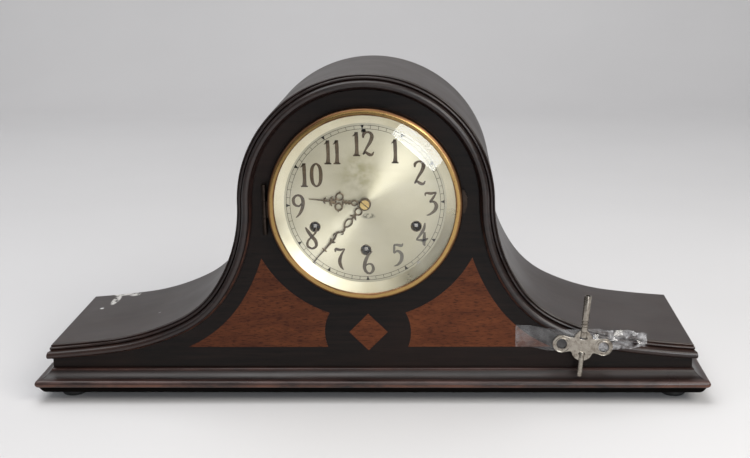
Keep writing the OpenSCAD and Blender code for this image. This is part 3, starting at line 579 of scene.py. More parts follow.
def clear(name, tint, gloss_rough, haze, haze_at, shine=1.0):
    """A thin clear sheet: what lies behind shows, and the surface adds its reflection and a little haze."""
    material, tree, bsdf = new_material(name)
    tree.nodes.remove(bsdf)
    output = tree.nodes["Material Output"]
    through = add(tree, "ShaderNodeBsdfTransparent")
    through.inputs["Color"].default_value = (*tint, 1.0)
    gloss = add(tree, "ShaderNodeBsdfGlossy")
    gloss.inputs["Roughness"].default_value = gloss_rough
    edge = add(tree, "ShaderNodeLayerWeight")
    edge.inputs["Blend"].default_value = 0.5
    slope = maths(tree, "POWER", edge.outputs["Facing"], 5.0)
    surface = add(tree, "ShaderNodeMixShader")
    tree.links.new(spread(tree, slope, 0, 1, 0.045 * shine, 0.9 * shine), surface.inputs["Fac"])
    tree.links.new(through.outputs["BSDF"], surface.inputs[1])
    tree.links.new(gloss.outputs["BSDF"], surface.inputs[2])
    milky = add(tree, "ShaderNodeBsdfDiffuse")
    milky.inputs["Color"].default_value = (0.9, 0.9, 0.92, 1.0)
    dusty = add(tree, "ShaderNodeMixShader")
    tree.links.new(spread(tree, grain(tree, haze_at, 4), 0.4, 0.75, 0.0, haze), dusty.inputs["Fac"])
    tree.links.new(surface.outputs["Shader"], dusty.inputs[1])
    tree.links.new(milky.outputs["BSDF"], dusty.inputs[2])
    tree.links.new(dusty.outputs["Shader"], output.inputs["Surface"])
    return material


def black_foot():
    material, tree, bsdf = new_material("black_foot")
    colour = ramp(tree, grain(tree, 300, 3), [(0.3, grey(0.006)), (0.7, grey(0.018))])
    tree.links.new(colour, bsdf.inputs["Base Color"])
    bsdf.inputs["Roughness"].default_value = 0.5
    roughen(tree, bsdf, grain(tree, 500, 2), 0.2, 0.1)
    return material


DARK = (0.0025, 0.0017, 0.0015)
BROWN = (0.0095, 0.0055, 0.0042)
panel_wood = stained_wood("panel_wood", DARK, BROWN, (0.022, 0.009, 0.006), 0.35)
back_wood = stained_wood("back_wood", (0.02, 0.011, 0.007), (0.06, 0.032, 0.02), (0.08, 0.04, 0.024),
                         0.5, 0.5, 0.62)
# Base bands: wear on the nose's lower half, a pinkish painted highlight on the nose top, a worn reddish line
# at the top fillet.
base_wood = moulding_wood("base_wood", [
    (14.0, 18.2, 0.8, (0.14, 0.05, 0.027)), (17.6, 21.0, 0.7, (0.1, 0.055, 0.048)),
    (25.8, 28.2, 0.7, (0.08, 0.032, 0.024)),
])
# A darker, duller copy of the base's wood for its underside: painted shade.
painted_shade_wood = stained_wood("painted_shade_wood", (0.001, 0.0008, 0.0007), (0.004, 0.003, 0.0025),
                          (0.008, 0.004, 0.003), 0.3, 0.7, 0.85, 0.03)
ridge_wood = moulding_wood("ridge_wood", [(30.0, 62.0, 0.2, (0.1, 0.045, 0.03))])
worn_wood = moulding_wood("worn_wood", [(-50.0, 180.0, 0.9, (0.13, 0.052, 0.032))])
top_wood = skin_wood()
left_veneer = inlay_wood("left_veneer", (0.05, 0.013, 0.005), (0.1, 0.029, 0.0095))
right_veneer = inlay_wood("right_veneer", (0.065, 0.017, 0.006), (0.125, 0.036, 0.012))
rim_brass = bezel_brass()
brass = metal("brass", (0.62, 0.43, 0.17), (0.34, 0.2, 0.08), 0.24, 0.42)
steel = metal("steel", (0.56, 0.55, 0.53), (0.25, 0.22, 0.19), 0.26, 0.45)
nickel = metal("nickel", (0.36, 0.33, 0.285), (0.15, 0.125, 0.1), 0.18, 0.34, 260)
bronzed = metal("bronzed_hands", (0.16, 0.12, 0.075), (0.07, 0.05, 0.035), 0.32, 0.5, 200)
dark_hinge = metal("dark_hinge", (0.045, 0.034, 0.028), (0.02, 0.015, 0.012), 0.3, 0.5, 150)
iron = metal("iron", (0.05, 0.05, 0.05), (0.1, 0.05, 0.03), 0.5, 0.7, 90)
dial_metal = silvered_dial()
ring_metal = sight_metal()
paint = numeral_paint()
track_ink = metal("track_ink", (0.03, 0.026, 0.02), (0.06, 0.05, 0.04), 0.5, 0.7, 300)
nut_brass = metal("nut_brass", (0.78, 0.58, 0.25), (0.5, 0.34, 0.13), 0.3, 0.45, 300)
foot_black = black_foot()
glass = clear("clock_glass", (0.97, 0.98, 0.97), 0.015, 0.03, 30)
glass_inside = clear("glass_inside", (0.99, 0.99, 0.99), 0.05, 0.02, 30, 0.0)
creased_film = clear("creased_film", (0.93, 0.93, 0.94), 0.05, 0.5, 150, 2.0)
film = clear("clear_film", (0.95, 0.95, 0.96), 0.07, 0.14, 60, 1.2)

BY_SLOT = {
    "dark_wood": panel_wood, "plain_wood": back_wood, "foot_wood": foot_black, "mahogany": left_veneer,
    "silvered_dial": dial_metal, "silvered_ring": ring_metal, "clear_glass": glass, "clear_tape": film,
    "nickel": nickel, "iron": iron, "steel": steel, "bronzed_steel": bronzed, "dark_hinge": dark_hinge,
    "brass": brass,
}


def dress(obj, material):
    if not obj.material_slots:
        obj.data.materials.append(material)
    for part in obj.material_slots:
        part.material = material


for part in frame["record"]["subparts"]:
    dress(frame["nodes"][part["node"]], BY_SLOT[part["material_slot"]])
dress(frame["nodes"]["inlay_right"], right_veneer)
dress(frame["nodes"]["inlay_diamond"], right_veneer)
dress(frame["nodes"]["dial_screws"], steel)
dress(frame["nodes"]["bezel_catch"], dark_hinge)


# ---- Case: the bent skin, the front moulding and the base moulding ----
def make_skin():
    edge = 0.5
    short = 0.1
    section = [(0.0, edge), (-edge, 0.0), (-SKIN_T, 0.0), (-SKIN_T, CASE_D), (-edge, CASE_D),
               (0.0, CASE_D - edge)]
    skin = sweep_case("bent_skin", section, HALF_W - short, top_wood, "case")
    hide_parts("top_skin")


def moulding_section():
    """A flat step, a small bead in a groove, then the broad rounded nose."""
    section = [(-0.4, 0.0), (-0.4, -1.4), (-0.9, -1.8), (-1.5, -1.5), (-1.8, -1.1)]
    for i in range(7):
        c, s = direction(170.0 - 26.0 * i)
        section.append((-3.1 - 1.15 * c, -2.6 - 1.15 * s))
    section.append((-4.6, -2.4))
    section.append((-4.9, -4.6))
    for i in range(13):
        c, s = direction(165.0 - 11.5 * i)
        section.append((-8.0 - 3.1 * c, -5.9 - 3.1 * s))
    section += [(-11.2, -3.6), (-12.3, -2.6), (-13.0, -1.2), (-13.0, 0.0)]
    return section


def make_moulding():
    lip = 0.34
    moulding = sweep_case("arched_moulding", moulding_section(), HALF_W, ridge_wood, "case", 0.12, lip)
    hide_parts("front_moulding")
    patchy = sweep_case("rubbed_edge", [
        (-10.95, -4.3), (-11.3, -3.75), (-12.0, -3.0), (-12.35, -2.5), (-11.8, -2.3), (-10.9, -3.5),
    ], HALF_W, worn_wood, "case", 0.1, lip)


def base_profile(out):
    """The base moulding's section of (distance out from the case, z), for a nose that is out mm wide."""
    nose_r = 3.2
    nose_z = 17.2
    points = [(0.0, BASE_LOW), (out - 10.0, BASE_LOW)]
    points += arc_points((out - 10.0, nose_z - nose_r), nose_z - nose_r - BASE_LOW, 270, 330, 8)
    points += arc_points((out - nose_r, nose_z), nose_r, -80, 88, 20)
    points += [(out - 5.0, 20.6), (out - 6.2, 21.2), (out - 7.4, 21.9), (out - 8.5, 22.7), (out - 9.6, 23.6)]
    points += [(out - 10.5, 24.5), (out - 11.4, 25.5), (out - 12.0, 26.3)]
    points += [(out - 12.4, 26.4), (out - 12.3, 27.3), (out - 12.8, BASE_TOP - 0.2)]
    points += [(out - 13.3, BASE_TOP), (0.0, BASE_TOP)]
    return [(max(a, 0.0), b) for a, b in points]


def make_base():
    """The base moulding runs round the front and both ends, with worn round corners."""
    corner_r = 2.0
    shade_z = 14.6
    side = base_profile(NOSE_SIDE)
    front = base_profile(NOSE_FRONT)
    rows = len(side)
    path = [("left", CASE_D - CASE_D * i / 12) for i in range(13)]
    path += [("corner_left", i / 6) for i in range(1, 6)]
    path += [("front", -HALF_W + 2 * HALF_W * i / 120) for i in range(121)]
    path += [("corner_right", i / 6) for i in range(1, 6)]
    path += [("right", CASE_D * i / 12) for i in range(13)]
    verts = []
    for where, t in path:
        for k in range(rows):
            so, z = side[k]
            fo = front[k][0]
            cut = corner_r * min(1.0, so / NOSE_SIDE)
            rub = 0.12 * noise.noise(Vector((t * 0.09, z * 0.3, 3.0 if where == "front" else 9.0)))
            if where == "left" or where == "right":
                sign = -1 if where == "left" else 1
                y = max(t, cut - fo) if t < 1 else t
                verts.append(place(sign * (HALF_W + so + min(rub, 0)), y if t > 0 else cut - fo, z))
            elif where == "front":
                x = t * (HALF_W + so - cut) / HALF_W
                verts.append(place(x, -fo - min(rub, 0), z))
            else:
                a = math.radians(90.0 * t)
                sx = cut * (1 - math.cos(a)) if where == "corner_left" else cut * (1 - math.sin(a))
                sy = cut * (1 - math.sin(a)) if where == "corner_left" else cut * (1 - math.cos(a))
                sign = -1 if where == "corner_left" else 1
                verts.append(place(sign * (HALF_W + so - sx), sy - fo, z))
    faces = ring_faces(len(path), rows, False)
    base = finish_mesh("worn_base_moulding", verts, faces, base_wood, "case")
    # Faces below shade_z take the darker, duller wood copy: painted shade on the underside.
    base.data.materials.append(painted_shade_wood)
    for face in base.data.polygons:
        if face.center.z < shade_z * MM:
            face.material_index = 1
    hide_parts("base_moulding")


# ---- Bezel ----
def make_bezel():
    roll_r = 3.6
    section = [(76.1, -0.5), (BEZEL_R - 0.3, -0.5), (BEZEL_R, -0.8), (BEZEL_R, -2.2), (BEZEL_R - 0.5, -2.7),
               (BEZEL_R - 0.5, -3.3), (BEZEL_R, -3.8)]
    for i in range(14):
        c, s = direction(4.0 + 6.2 * i)
        section.append((BEZEL_R - roll_r + roll_r * c, -8.4 - roll_r * s))
    section += [(75.0, -12.0), (74.6, -11.6), (74.6, -10.1), (76.1, -10.1)]
    ring = dial_lathe("rolled_bezel", section, rim_brass, "bezel")
    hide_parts("bezel_ring")
    sight = dial_lathe("dished_sight_ring", [
        (75.9, -7.2), (75.9, -6.6), (74.0, -5.3), (71.6, -4.0), (69.0, -2.7), (67.6, -2.35), (67.2, -2.45),
        (67.25, -2.7), (69.3, -3.7), (72.2, -5.25), (74.6, -6.5),
    ], ring_metal, "bezel")
    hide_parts("bezel_sight_ring")
    front = []
    back = []
    for i in range(25):
        r = GLASS_R * i / 24
        front.append((r, CROWN_Y + GLASS_CURVE_R - math.sqrt(GLASS_CURVE_R ** 2 - r * r)))
        back.append((r, CROWN_Y + GLASS_CURVE_R - math.sqrt((GLASS_CURVE_R - GLASS_T) ** 2 - r * r)))
    pane = dial_lathe("domed_glass", front + back[::-1], glass, "bezel")
    pane.data.materials.append(glass_inside)
    for face in pane.data.polygons:
        if face.normal.y > 0:
            face.material_index = 1
    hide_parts("bezel_glass")


# ---- Dial: numerals and minute track ----
# Each numeral's strokes, drawn as (x, z, width) about its middle, in mm.
DIGITS = {
    "1": [[(-3.0, 6.6, 0.4), (-1.4, 7.7, 1.1), (-0.1, 9.6, 1.7)],
          [(0.1, 10.0, 2.2), (0.2, 4.0, 2.5), (0.3, -3.0, 2.3), (0.1, -8.0, 2.9), (0.0, -9.3, 4.0)],
          [(-2.9, -9.4, 0.9), (0.0, -9.2, 1.3), (2.9, -9.5, 0.9)]],
    "2": [[(-3.9, 5.0, 1.0), (-3.6, 7.8, 2.0), (-1.4, 9.6, 1.4), (1.6, 9.4, 1.7), (3.2, 6.6, 2.5),
           (2.0, 2.2, 2.3), (-1.2, -3.0, 1.6), (-4.0, -8.2, 1.1)],
          [(-4.2, -8.6, 1.0), (-2.2, -6.8, 1.5), (0.6, -8.6, 2.1), (3.0, -8.8, 1.7), (4.6, -6.4, 0.7)]],
    "3": [[(-4.7, 6.4, 0.6), (-4.3, 8.9, 1.3), (0.0, 8.6, 1.9), (4.4, 9.6, 0.9)],
          [(4.3, 9.2, 0.9), (1.8, 5.0, 1.6), (-1.0, 1.4, 1.4)],
          [(-1.2, 1.2, 1.1), (2.2, 1.6, 1.6), (4.3, -1.6, 2.5), (3.0, -5.6, 2.2), (-0.8, -8.8, 1.4),
           (-3.8, -9.8, 0.6)]],
    "4": [[(2.6, 9.6, 1.0), (1.6, 4.6, 2.0), (-1.2, -0.2, 1.7), (-4.4, -4.2, 1.1)],
          [(-4.9, -4.6, 0.8), (-1.0, -5.0, 1.7), (2.4, -4.8, 1.9), (5.2, -3.4, 0.8)],
          [(2.2, 1.8, 1.5), (1.9, -3.6, 2.3), (1.7, -8.0, 2.0), (2.7, -9.7, 0.9)]],
    "5": [[(4.6, 9.7, 0.6), (3.4, 7.8, 1.9), (0.0, 8.4, 1.7), (-2.8, 8.4, 1.2)],
          [(-2.5, 8.6, 1.3), (-2.7, 4.6, 1.6), (-3.0, 1.4, 1.0)],
          [(-2.9, 1.2, 1.0), (0.2, 3.2, 1.6), (3.4, 0.4, 2.4), (3.2, -4.6, 2.3), (0.4, -8.4, 1.5),
           (-2.8, -9.8, 0.6)]],
    "6": [[(3.2, 9.8, 0.6), (0.2, 7.0, 1.8), (-2.6, 1.6, 2.4), (-3.6, -4.2, 2.3), (-1.6, -8.4, 1.7),
           (1.6, -8.9, 1.5), (3.8, -5.6, 2.1), (2.6, -1.6, 1.5), (-0.6, -1.2, 1.1), (-3.0, -3.2, 0.8)]],
    "7": [[(-4.0, 5.8, 0.6), (-3.5, 8.4, 1.9), (0.0, 7.8, 1.7), (4.0, 8.6, 0.9)],
          [(3.9, 8.4, 0.9), (1.0, 3.4, 1.7), (-0.5, -2.0, 2.4), (0.6, -6.6, 1.9), (2.6, -9.4, 0.6)]],
    "8": [[(-4.9, 8.9, 0.8), (-3.4, 6.4, 1.9), (-0.4, 1.8, 2.4), (3.2, -2.8, 2.4), (3.6, -7.2, 1.9),
           (0.2, -9.3, 1.4), (-3.5, -7.0, 1.7), (-3.0, -2.8, 1.5), (0.4, 1.0, 1.2), (3.6, 4.6, 1.3),
           (4.4, 8.6, 0.7)]],
    "9": [[(3.4, 3.0, 1.1), (0.4, 0.2, 1.3), (-3.2, 1.8, 1.9), (-3.9, 6.0, 2.1), (-1.6, 9.0, 1.5),
           (2.0, 8.8, 1.7), (4.0, 4.8, 2.4), (3.4, -1.0, 2.3), (1.0, -6.2, 1.7), (-2.2, -9.6, 0.6)]],
    "0": [[(0.0, 9.4, 1.3), (-3.0, 6.4, 2.1), (-3.8, 0.0, 2.5), (-3.0, -6.4, 2.1), (0.0, -9.4, 1.3),
           (3.0, -6.4, 2.1), (3.8, 0.0, 2.5), (3.0, 6.4, 2.1)]],
}
# How far some numerals stand from an even ring, in mm: they were laid out by eye.
NUDGE = {
    3: (1.4, 0), 5: (-1.6, 2.0), 6: (0.6, 2.8), 7: (3.6, 0), 9: (-2.4, 1.2), 10: (1.8, 1.5), 11: (1.6, 1.0),
}
# How far apart the two digits of a numeral stand, in mm.
DIGIT_GAP = {10: 10.0, 11: 7.4, 12: 9.6}
NUMERAL_RING = (53.0, 51.5)
NUMERAL_DROP = 1.8
NUMERAL_BOLD = 1.25
TRACK_R = (62.3, 65.3)
TRACK_LINE = 0.34


def make_numerals():
    numerals = Flat(DIAL_Y - 0.06, 0.05)
    for hour in range(1, 13):
        c, s = direction(91.5 - 30.0 * hour)
        nudge = NUDGE.get(hour, (0, 0))
        cx = NUMERAL_RING[0] * c + nudge[0]
        cz = NUMERAL_RING[1] * s - NUMERAL_DROP + nudge[1]
        digits = str(hour)
        for i, digit in enumerate(digits):
            shift = (i - (len(digits) - 1) / 2) * DIGIT_GAP.get(hour, 0.0)
            for stroke in DIGITS[digit]:
                points = [(cx + shift + x, cz + z, NUMERAL_BOLD * w) for x, z, w in stroke]
                numerals.ribbon(points, closed=digit == "0")
    numerals.make("dial_numerals", paint, "case")


def make_track():
    """Two circles joined by a tick for each minute, with a wedge at each hour."""
    track = Flat(DIAL_Y - 0.04, 0.03)
    for radius in TRACK_R:
        points = []
        for i in range(180):
            c, s = direction(2.0 * i)
            points.append((radius * c, radius * s, TRACK_LINE))
        track.ribbon(points, closed=True, smooth=False)
    for minute in range(60):
        c, s = direction(6.0 * minute + 1.0)
        if minute % 5:
            track.ribbon([(r * c, r * s, TRACK_LINE) for r in TRACK_R], smooth=False)
        else:
            track.ribbon([(62.1 * c, 62.1 * s, 0.15), (65.6 * c, 65.6 * s, 3.0)], smooth=False, lift=0.01)
    track.make("minute_track", track_ink, "case")


def make_hole_edges():
    """The turned-in edge of each winding hole."""
    for name, x, drop in (("strike", -42, 19.5), ("time", 0, 39.5), ("chime", 42, 19.5)):
        rim = [(4.05, -1.6), (4.05, -2.4), (4.2, -2.5), (4.5, -2.45), (4.6, -2.2), (4.2, -2.0), (4.2, -1.6)]
        edge = lathe(name + "_hole_edge", rim, place(x, 0, DIAL_Z - drop), (0, 1, 0), bronzed, "case", 48)


# ---- Hands ----
def make_hour_hand():
    hand = Turned(HOUR_HAND_Y, HAND_T, 0.22, HOUR_ANGLE)
    hand.ring(0, 0, 4.0, 1.9)
    for side in (1, -1):
        hand.ribbon([(5.6, 0, 1.2), (7.4, side * 1.7, 1.2), (9.6, side * 1.9, 1.2), (11.8, 0, 1.2)],
                    lift=0.01)
    hand.ribbon([(11.4, 0, 1.4), (13.2, 0, 3.6), (14.4, 0, 1.6), (15.8, 0, 3.6), (17.4, 0, 1.6),
                 (19.0, 0, 1.4)], lift=0.02)
    for side in (-1, 1):
        hand.ring(21.4, side * 4.3, 2.9, 1.35, 0.03)
        hand.ribbon([(21.4, side * 7.0, 2.2), (21.4, side * 8.0, 1.3), (21.4, side * 9.0, 0.3)], lift=0.04)
        hand.ribbon([(17.4, 0, 1.4), (18.2, side * 1.8, 1.2), (19.2, side * 2.6, 1.1)], lift=0.05)
        hand.ribbon([(23.6, side * 2.4, 1.1), (25.2, side * 1.2, 1.2), (27.0, 0, 1.3)], lift=0.05)
    hand.ring(25.9, 0, 1.7, 1.1, 0.03)
    hand.ribbon([(27.2, 0, 1.6), (28.4, 0, 2.4), (30.4, 0, 1.6), (33.8, 0, 1.9), (36.0, 0, 1.1),
                 (HOUR_LEN, 0, 0.5)], lift=0.06)
    hand.barbs([(27.1, 4.2, 0.4), (28.2, 2.1, 2.2)], (28.8, 0, 1.6), 0.07)
    hand.barbs([(32.6, 2.7, 0.4), (33.6, 1.3, 1.6)], (34.0, 0, 1.2), 0.08)
    piece = hand.make("openwork_hour_hand", bronzed, "hour")
    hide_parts("hour_hand")


def make_minute_hand():
    hand = Turned(MINUTE_HAND_Y, HAND_T, 0.2, MINUTE_ANGLE, 1.3)
    hand.ring(0, 0, 3.4, 1.9)
    hand.ring(8.0, 0, 2.8, 0.95, 0.01)
    hand.ribbon([(10.8, 0, 1.2), (12.8, 0, 1.6), (14.6, 0, 1.1), (16.6, 0, 1.1)], lift=0.02)
    for side in (-1, 1):
        hand.ribbon([(12.6, 0, 1.0), (14.2, side * 1.9, 1.2), (15.0, side * 3.4, 0.3)], lift=0.03)
        hand.ribbon([(16.2, 0, 0.9), (19.0, side * 2.4, 1.0), (22.6, side * 2.1, 1.0), (25.8, 0, 0.9)],
                    lift=0.04)
    hand.ribbon([(25.4, 0, 1.2), (28.4, 1.5, 1.3), (31.0, 0.2, 1.2), (33.6, -1.6, 1.3), (36.4, -0.6, 1.2),
                 (38.4, 0, 1.1)], lift=0.05)
    hand.ribbon([(29.0, 1.4, 0.9), (30.8, 2.6, 0.8), (32.4, 1.8, 0.4)], lift=0.06)
    hand.ribbon([(34.0, -1.5, 0.9), (36.0, -2.8, 0.8), (37.6, -2.0, 0.4)], lift=0.06)
    hand.ribbon([(38.0, 0, 1.1), (41.6, 0, 1.7), (44.0, 0, 1.2), (50.6, 0, 1.0), (51.6, 0, 1.4),
                 (53.0, 0, 0.8), (MINUTE_LEN, 0, 0.35)], lift=0.07)
    hand.barbs([(40.4, 2.6, 0.4), (41.6, 1.2, 1.4)], (42.2, 0, 1.1), 0.08)
    hand.barbs([(51.2, 2.4, 0.4)], (51.6, 0, 1.3), 0.09)
    piece = hand.make("openwork_minute_hand", bronzed, "minute")
    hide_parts("minute_hand")


def half_disc(name, side, angle):
    """Half of the nut's raised face: the two halves stand apart, and the gap is the screwdriver slot."""
    radius = 3.9
    gap = 0.5
    start = math.degrees(math.asin(gap / radius))
    outline = []
    for i in range(25):
        c, s = direction(start + (180.0 - 2 * start) * i / 24)
        outline.append((radius * c, radius * s))
    verts = []
    turn_c, turn_s = direction(angle + (180.0 if side < 0 else 0.0))
    for shrink, y in ((1.0, -7.5), (1.0, -8.3), (0.93, -8.6)):
        for x, z in outline:
            u = x * shrink
            v = gap + (z - gap) * shrink
            verts.append(place(u * turn_c - v * turn_s, y, u * turn_s + v * turn_c + DIAL_Z))
    return finish_mesh(name, verts, ring_faces(3, len(outline), False), nut_brass, "minute", 25.0)


def make_hand_nut():
    collar = dial_lathe("nut_collar", [
        (0.3, -6.2), (4.6, -6.2), (4.9, -6.5), (4.9, -7.3), (4.6, -7.7), (4.2, -7.75), (4.05, -7.45),
        (0.3, -7.45),
    ], bronzed, "minute")
    slot_angle = -42.0
    upper = half_disc("nut_face_upper", 1, slot_angle)
    lower = half_disc("nut_face_lower", -1, slot_angle)
    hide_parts("hand_nut")


# ---- Key and tape ----
KEY_CENTRE = place(179.3, -13.0, 51.5)
KEY_TILT = math.radians(-5.0)
KEY_WING = 17.4
FINGER_R = 4.4
# The round lobes of the key's plate, as (u, v, radius).
KEY_LOBES = ((KEY_WING, 0, 7.6), (-KEY_WING, 0, 7.6), (0, 5.2, 7.6), (0, -4.6, 8.8))


def key_point(u, v, depth=0.0):
    """A point on the key: u along its wings, v up its barrels, depth towards the viewer."""
    c, s = math.cos(KEY_TILT), math.sin(KEY_TILT)
    return KEY_CENTRE + Vector((u * c - v * s, -depth, u * s + v * c)) * MM


def wing_edge(angle):
    """How far the key plate reaches from its middle at an angle."""
    ux, uz = direction(angle)
    reach = min(KEY_WING / max(abs(ux), 1e-6), 6.0 / max(abs(uz), 1e-6))
    for cx, cz, r in KEY_LOBES:
        along = cx * ux + cz * uz
        gap = r * r - (cx * cx + cz * cz - along * along)
        if gap > 0 and along + math.sqrt(gap) > 0:
            reach = max(reach, along + math.sqrt(gap))
    return reach


def make_key_plate():
    """The stamped plate: its outline and its four holes, filled flat with a rounded edge."""
    curve = bpy.data.curves.new("key_plate_outline", "CURVE")
    curve.dimensions = "2D"
    curve.fill_mode = "BOTH"
    edge = 0.35
    curve.extrude = 0.45 * MM
    curve.bevel_depth = edge * MM
    curve.bevel_resolution = 3
    curve.offset = -edge * MM
    outer = []
    for i in range(180):
        reach = sum(wing_edge(2.0 * i + d) for d in (-4, -2, 0, 2, 4)) / 5
        ux, uz = direction(2.0 * i)
        outer.append((reach * ux, reach * uz))
    loops = [outer]
    for side in (-1, 1):
        loops.append(arc_points((KEY_WING * side, 0), FINGER_R, 0, 350, 35))
    for level, wide, tall in ((6.6, 3.3, 1.5), (-7.4, 2.7, 1.3)):
        loops.append([(wide * u, level + tall * v) for u, v in arc_points((0, 0), 1.0, 0, 345, 23)])
    for loop in loops:
        spline = curve.splines.new("POLY")
        spline.points.add(len(loop) - 1)
        for point, (x, z) in zip(spline.points, loop):
            point.co = (x * MM, z * MM, 0, 1)
        spline.use_cyclic_u = True
    holder = bpy.data.objects.new("key_plate_outline", curve)
    bpy.context.scene.collection.objects.link(holder)
    mesh = bpy.data.meshes.new_from_object(holder.evaluated_get(bpy.context.evaluated_depsgraph_get()))
    bpy.data.objects.remove(holder)
    upright = Matrix.Rotation(-KEY_TILT, 4, "Y") @ Matrix.Rotation(math.pi / 2, 4, "X")
    mesh.transform(Matrix.Translation(KEY_CENTRE) @ upright)
    mesh.materials.clear()
    mesh.materials.append(nickel)
    plate = bpy.data.objects.new("key_plate", mesh)
    bpy.context.scene.collection.objects.link(plate)
    mesh.shade_smooth()
    mesh.set_sharp_from_angle(angle=math.radians(40))
    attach(plate, "key")
    return plate


def make_key():
    plate = make_key_plate()
    front = (key_point(0, 0, 1) - key_point(0, 0)).normalized()
    up = (key_point(0, 1) - key_point(0, 0)).normalized()
    rim = [(FINGER_R, 0.6), (FINGER_R, 1.0), (4.7, 1.15), (5.2, 1.1), (5.6, 0.8), (5.6, 0.6)]
    lip = [(6.7, 0.6), (6.75, 0.95), (7.1, 1.05), (7.4, 0.9), (7.4, 0.6)]
    for name, side in (("left", -1), ("right", 1)):
        middle = key_point(KEY_WING * side, 0)
        lathe(name + "_hole_rim", rim, middle, front, nickel, "key", 64)
        lathe(name + "_wing_rim", lip, middle, front, nickel, "key", 64)
    long = [(2.0, 33.0), (2.1, 43.0), (2.8, 43.0), (2.95, 42.6), (2.95, 22.4)]
    for level in (22.0, 19.6, 17.2, 12.4):
        long += [(2.95, level + 0.2), (2.35, level - 0.1), (2.35, level - 0.6), (2.95, level - 0.9)]
    long += [(2.95, 8.0), (2.6, 7.0), (0.3, 7.0), (0.3, 33.0)]
    barrel = lathe("going_barrel", long, key_point(0, 0), up, nickel, "key", 48)
    short = [(0.3, -20.0), (1.5, -20.0), (1.6, -26.8), (2.15, -26.8), (2.3, -26.4), (2.3, -22.0),
             (2.2, -21.6), (2.3, -21.2), (2.3, -6.2), (2.0, -5.5), (0.3, -5.5)]
    small = lathe("regulating_barrel", short, key_point(0, 0), up, nickel, "key", 48)
    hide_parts("winding_key")


TAPE_X = (124.5, 232.5)
TAPE_LOW = 46.0
TAPE_W = 19.0
TAPE_SEED = 7


def tape_depth(x):
    """The strip's case y: flat on the panel, behind the wings, then down on to the moulding's nose."""
    behind_key = -12.05
    on_nose = -9.3
    stops = [(TAPE_X[0], -0.2), (137.0, -0.25), (149.0, on_nose), (161.0, behind_key), (200.0, behind_key),
             (212.0, on_nose), (TAPE_X[1], on_nose)]
    for (x0, y0), (x1, y1) in zip(stops, stops[1:]):
        if x <= x1:
            return y0 + (y1 - y0) * (x - x0) / (x1 - x0)
    return stops[-1][1]


def make_tape():
    """A strip of clear film: smooth over the panel and creased into flat facets past the key."""
    noise.seed_set(TAPE_SEED)
    columns = 27
    rows = 4
    verts = []
    for i in range(columns + 1):
        x = TAPE_X[0] + (TAPE_X[1] - TAPE_X[0]) * i / columns
        crumple = min(max((x - 184.0) / 8.0, 0.0), 1.0)
        slant = max(x - 187.0, 0.0) / 45.0
        for k in range(rows + 1):
            z = TAPE_LOW + 3.0 * slant + (TAPE_W - 7.0 * slant) * k / rows
            fold = noise.noise_vector(Vector((i * 2.7, k * 3.1, 5.0)))
            y = tape_depth(x) - crumple * (1.6 + 4.2 * fold.y) - 0.25 * fold.x
            y = max(y, -15.6) + crumple * 0.5 * max(z - 57.0, 0.0)
            shift = 2.4 * crumple if 0 < i < columns else 0.8 * crumple
            verts.append(place(x + shift * fold.x, y, z + 1.6 * crumple * fold.z))
    faces = []
    for i in range(columns):
        for k in range(rows):
            a = i * (rows + 1) + k
            b = a + rows + 1
            if (i + k) % 2:
                faces += [(a, b, b + 1), (a, b + 1, a + 1)]
            else:
                faces += [(a, b, a + 1), (b, b + 1, a + 1)]
    strip = finish_mesh("crumpled_tape", verts, faces, film, "key", 9.0)
    strip.data.materials.append(creased_film)
    for face in strip.data.polygons:
        if face.center.x > 190.0 * MM:
            face.material_index = 1
    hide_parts("key_tape")


make_skin()
make_moulding()
make_base()
make_bezel()
make_numerals()
make_track()
make_hole_edges()
make_hour_hand()
make_minute_hand()
make_hand_nut()
make_key()
make_tape()


# ---- Stage: floor and backdrop, lights and camera ----
def make_stage():
    """A sheet of pale paper: a long floor that bends up into the backdrop."""
    material, tree, bsdf = new_material("studio_paper")
    tone = ramp(tree, grain(tree, 2.0, 3), [(0.3, (0.66, 0.655, 0.665)), (0.7, (0.69, 0.685, 0.695))])
    tree.links.new(tone, bsdf.inputs["Base Color"])
    bsdf.inputs["Roughness"].default_value = 0.8
    wide = 6.0
    bend_y = 1.6
    bend_r = 0.8
    profile = [(-6.0, 0.0), (bend_y, 0.0)]
    for i in range(1, 13):
        a = math.radians(90.0 * i / 12)
        profile.append((bend_y + bend_r * math.sin(a), bend_r - bend_r * math.cos(a)))
    profile.append((bend_y + bend_r, 4.0))
    verts = []
    for y, z in profile:
        verts += [(-wide, y, z), (wide, y, z)]
    faces = [(2 * i, 2 * i + 1, 2 * i + 3, 2 * i + 2) for i in range(len(profile) - 1)]
    paper = finish_mesh("studio_paper", verts, faces, material, None, 60.0)


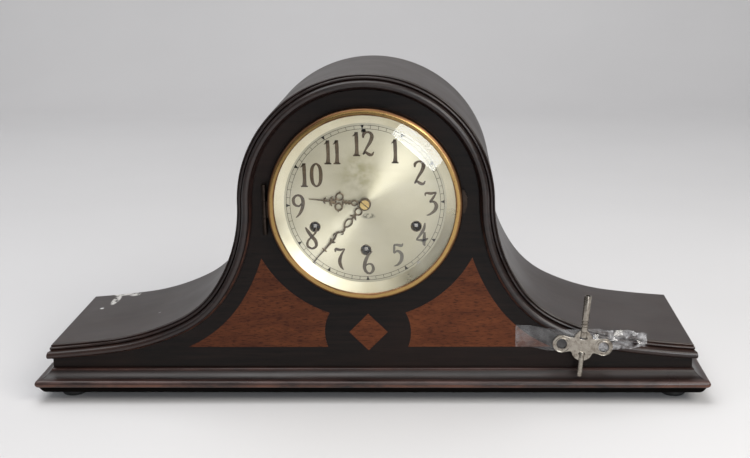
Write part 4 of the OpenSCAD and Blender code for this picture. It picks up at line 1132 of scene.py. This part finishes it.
def area_light(name, spot, target, width, height, power, colour=(1, 1, 1)):
    data = bpy.data.lights.new(name, "AREA")
    data.shape = "RECTANGLE"
    data.size = width
    data.size_y = height
    data.energy = power
    data.color = colour
    lamp = bpy.data.objects.new(name, data)
    bpy.context.scene.collection.objects.link(lamp)
    lamp.location = spot
    lamp.rotation_euler = (Vector(target) - Vector(spot)).to_track_quat("-Z", "Y").to_euler()
    return lamp


def make_lights():
    middle = (0, 0, 0.14)
    warm = (1.0, 0.97, 0.91)
    cool = (0.93, 0.96, 1.0)
    area_light("overhead", (-0.5, 0.4, 2.4), (-0.3, 0.35, 0), 3.0, 2.0, 38)
    area_light("top_front", (-0.2, -0.45, 2.2), middle, 2.2, 0.8, 10)
    area_light("key_box", (1.15, -0.95, 1.2), middle, 1.3, 0.9, 19, warm)
    area_light("front_box", (0.35, -0.95, 0.87), middle, 1.7, 0.7, 2.7, warm)
    area_light("left_box", (-1.5, -0.6, 0.9), middle, 0.6, 0.9, 2.5, (0.94, 0.97, 1.0))
    window = area_light("window", (0.71, -2.2, 0.61), middle, 0.72, 0.72, 17, cool)
    window.rotation_euler.rotate_axis("Z", math.radians(45))
    area_light("far_window", (-0.42, -2.2, 0.8), middle, 0.7, 0.3, 0.35, (0.9, 0.95, 1.0))
    world = bpy.data.worlds.new("studio")
    bpy.context.scene.world = world
    world.use_nodes = True
    background = world.node_tree.nodes["Background"]
    background.inputs["Color"].default_value = (0.8, 0.8, 0.82, 1)
    background.inputs["Strength"].default_value = 0.12
    bpy.context.scene.view_settings.view_transform = "Standard"


def make_camera():
    yaw = math.radians(-3.148)
    pitch = math.radians(13.57)
    roll = math.radians(-1.091)
    ahead = Vector((math.sin(yaw) * math.cos(pitch), math.cos(yaw) * math.cos(pitch), -math.sin(pitch)))
    right = Vector((math.cos(yaw), -math.sin(yaw), 0))
    up = right.cross(ahead)
    tilted_right = math.cos(roll) * right + math.sin(roll) * up
    tilted_up = -math.sin(roll) * right + math.cos(roll) * up
    data = bpy.data.cameras.new("camera")
    data.sensor_width = 36.0
    data.lens = 60.8
    camera = bpy.data.objects.new("camera", data)
    bpy.context.scene.collection.objects.link(camera)
    turn = Matrix((tilted_right, tilted_up, -ahead)).transposed().to_4x4()
    camera.matrix_world = Matrix.Translation((0.0638, -1.0862, 0.3956)) @ turn
    bpy.context.scene.camera = camera


make_stage()
make_lights()
make_camera()
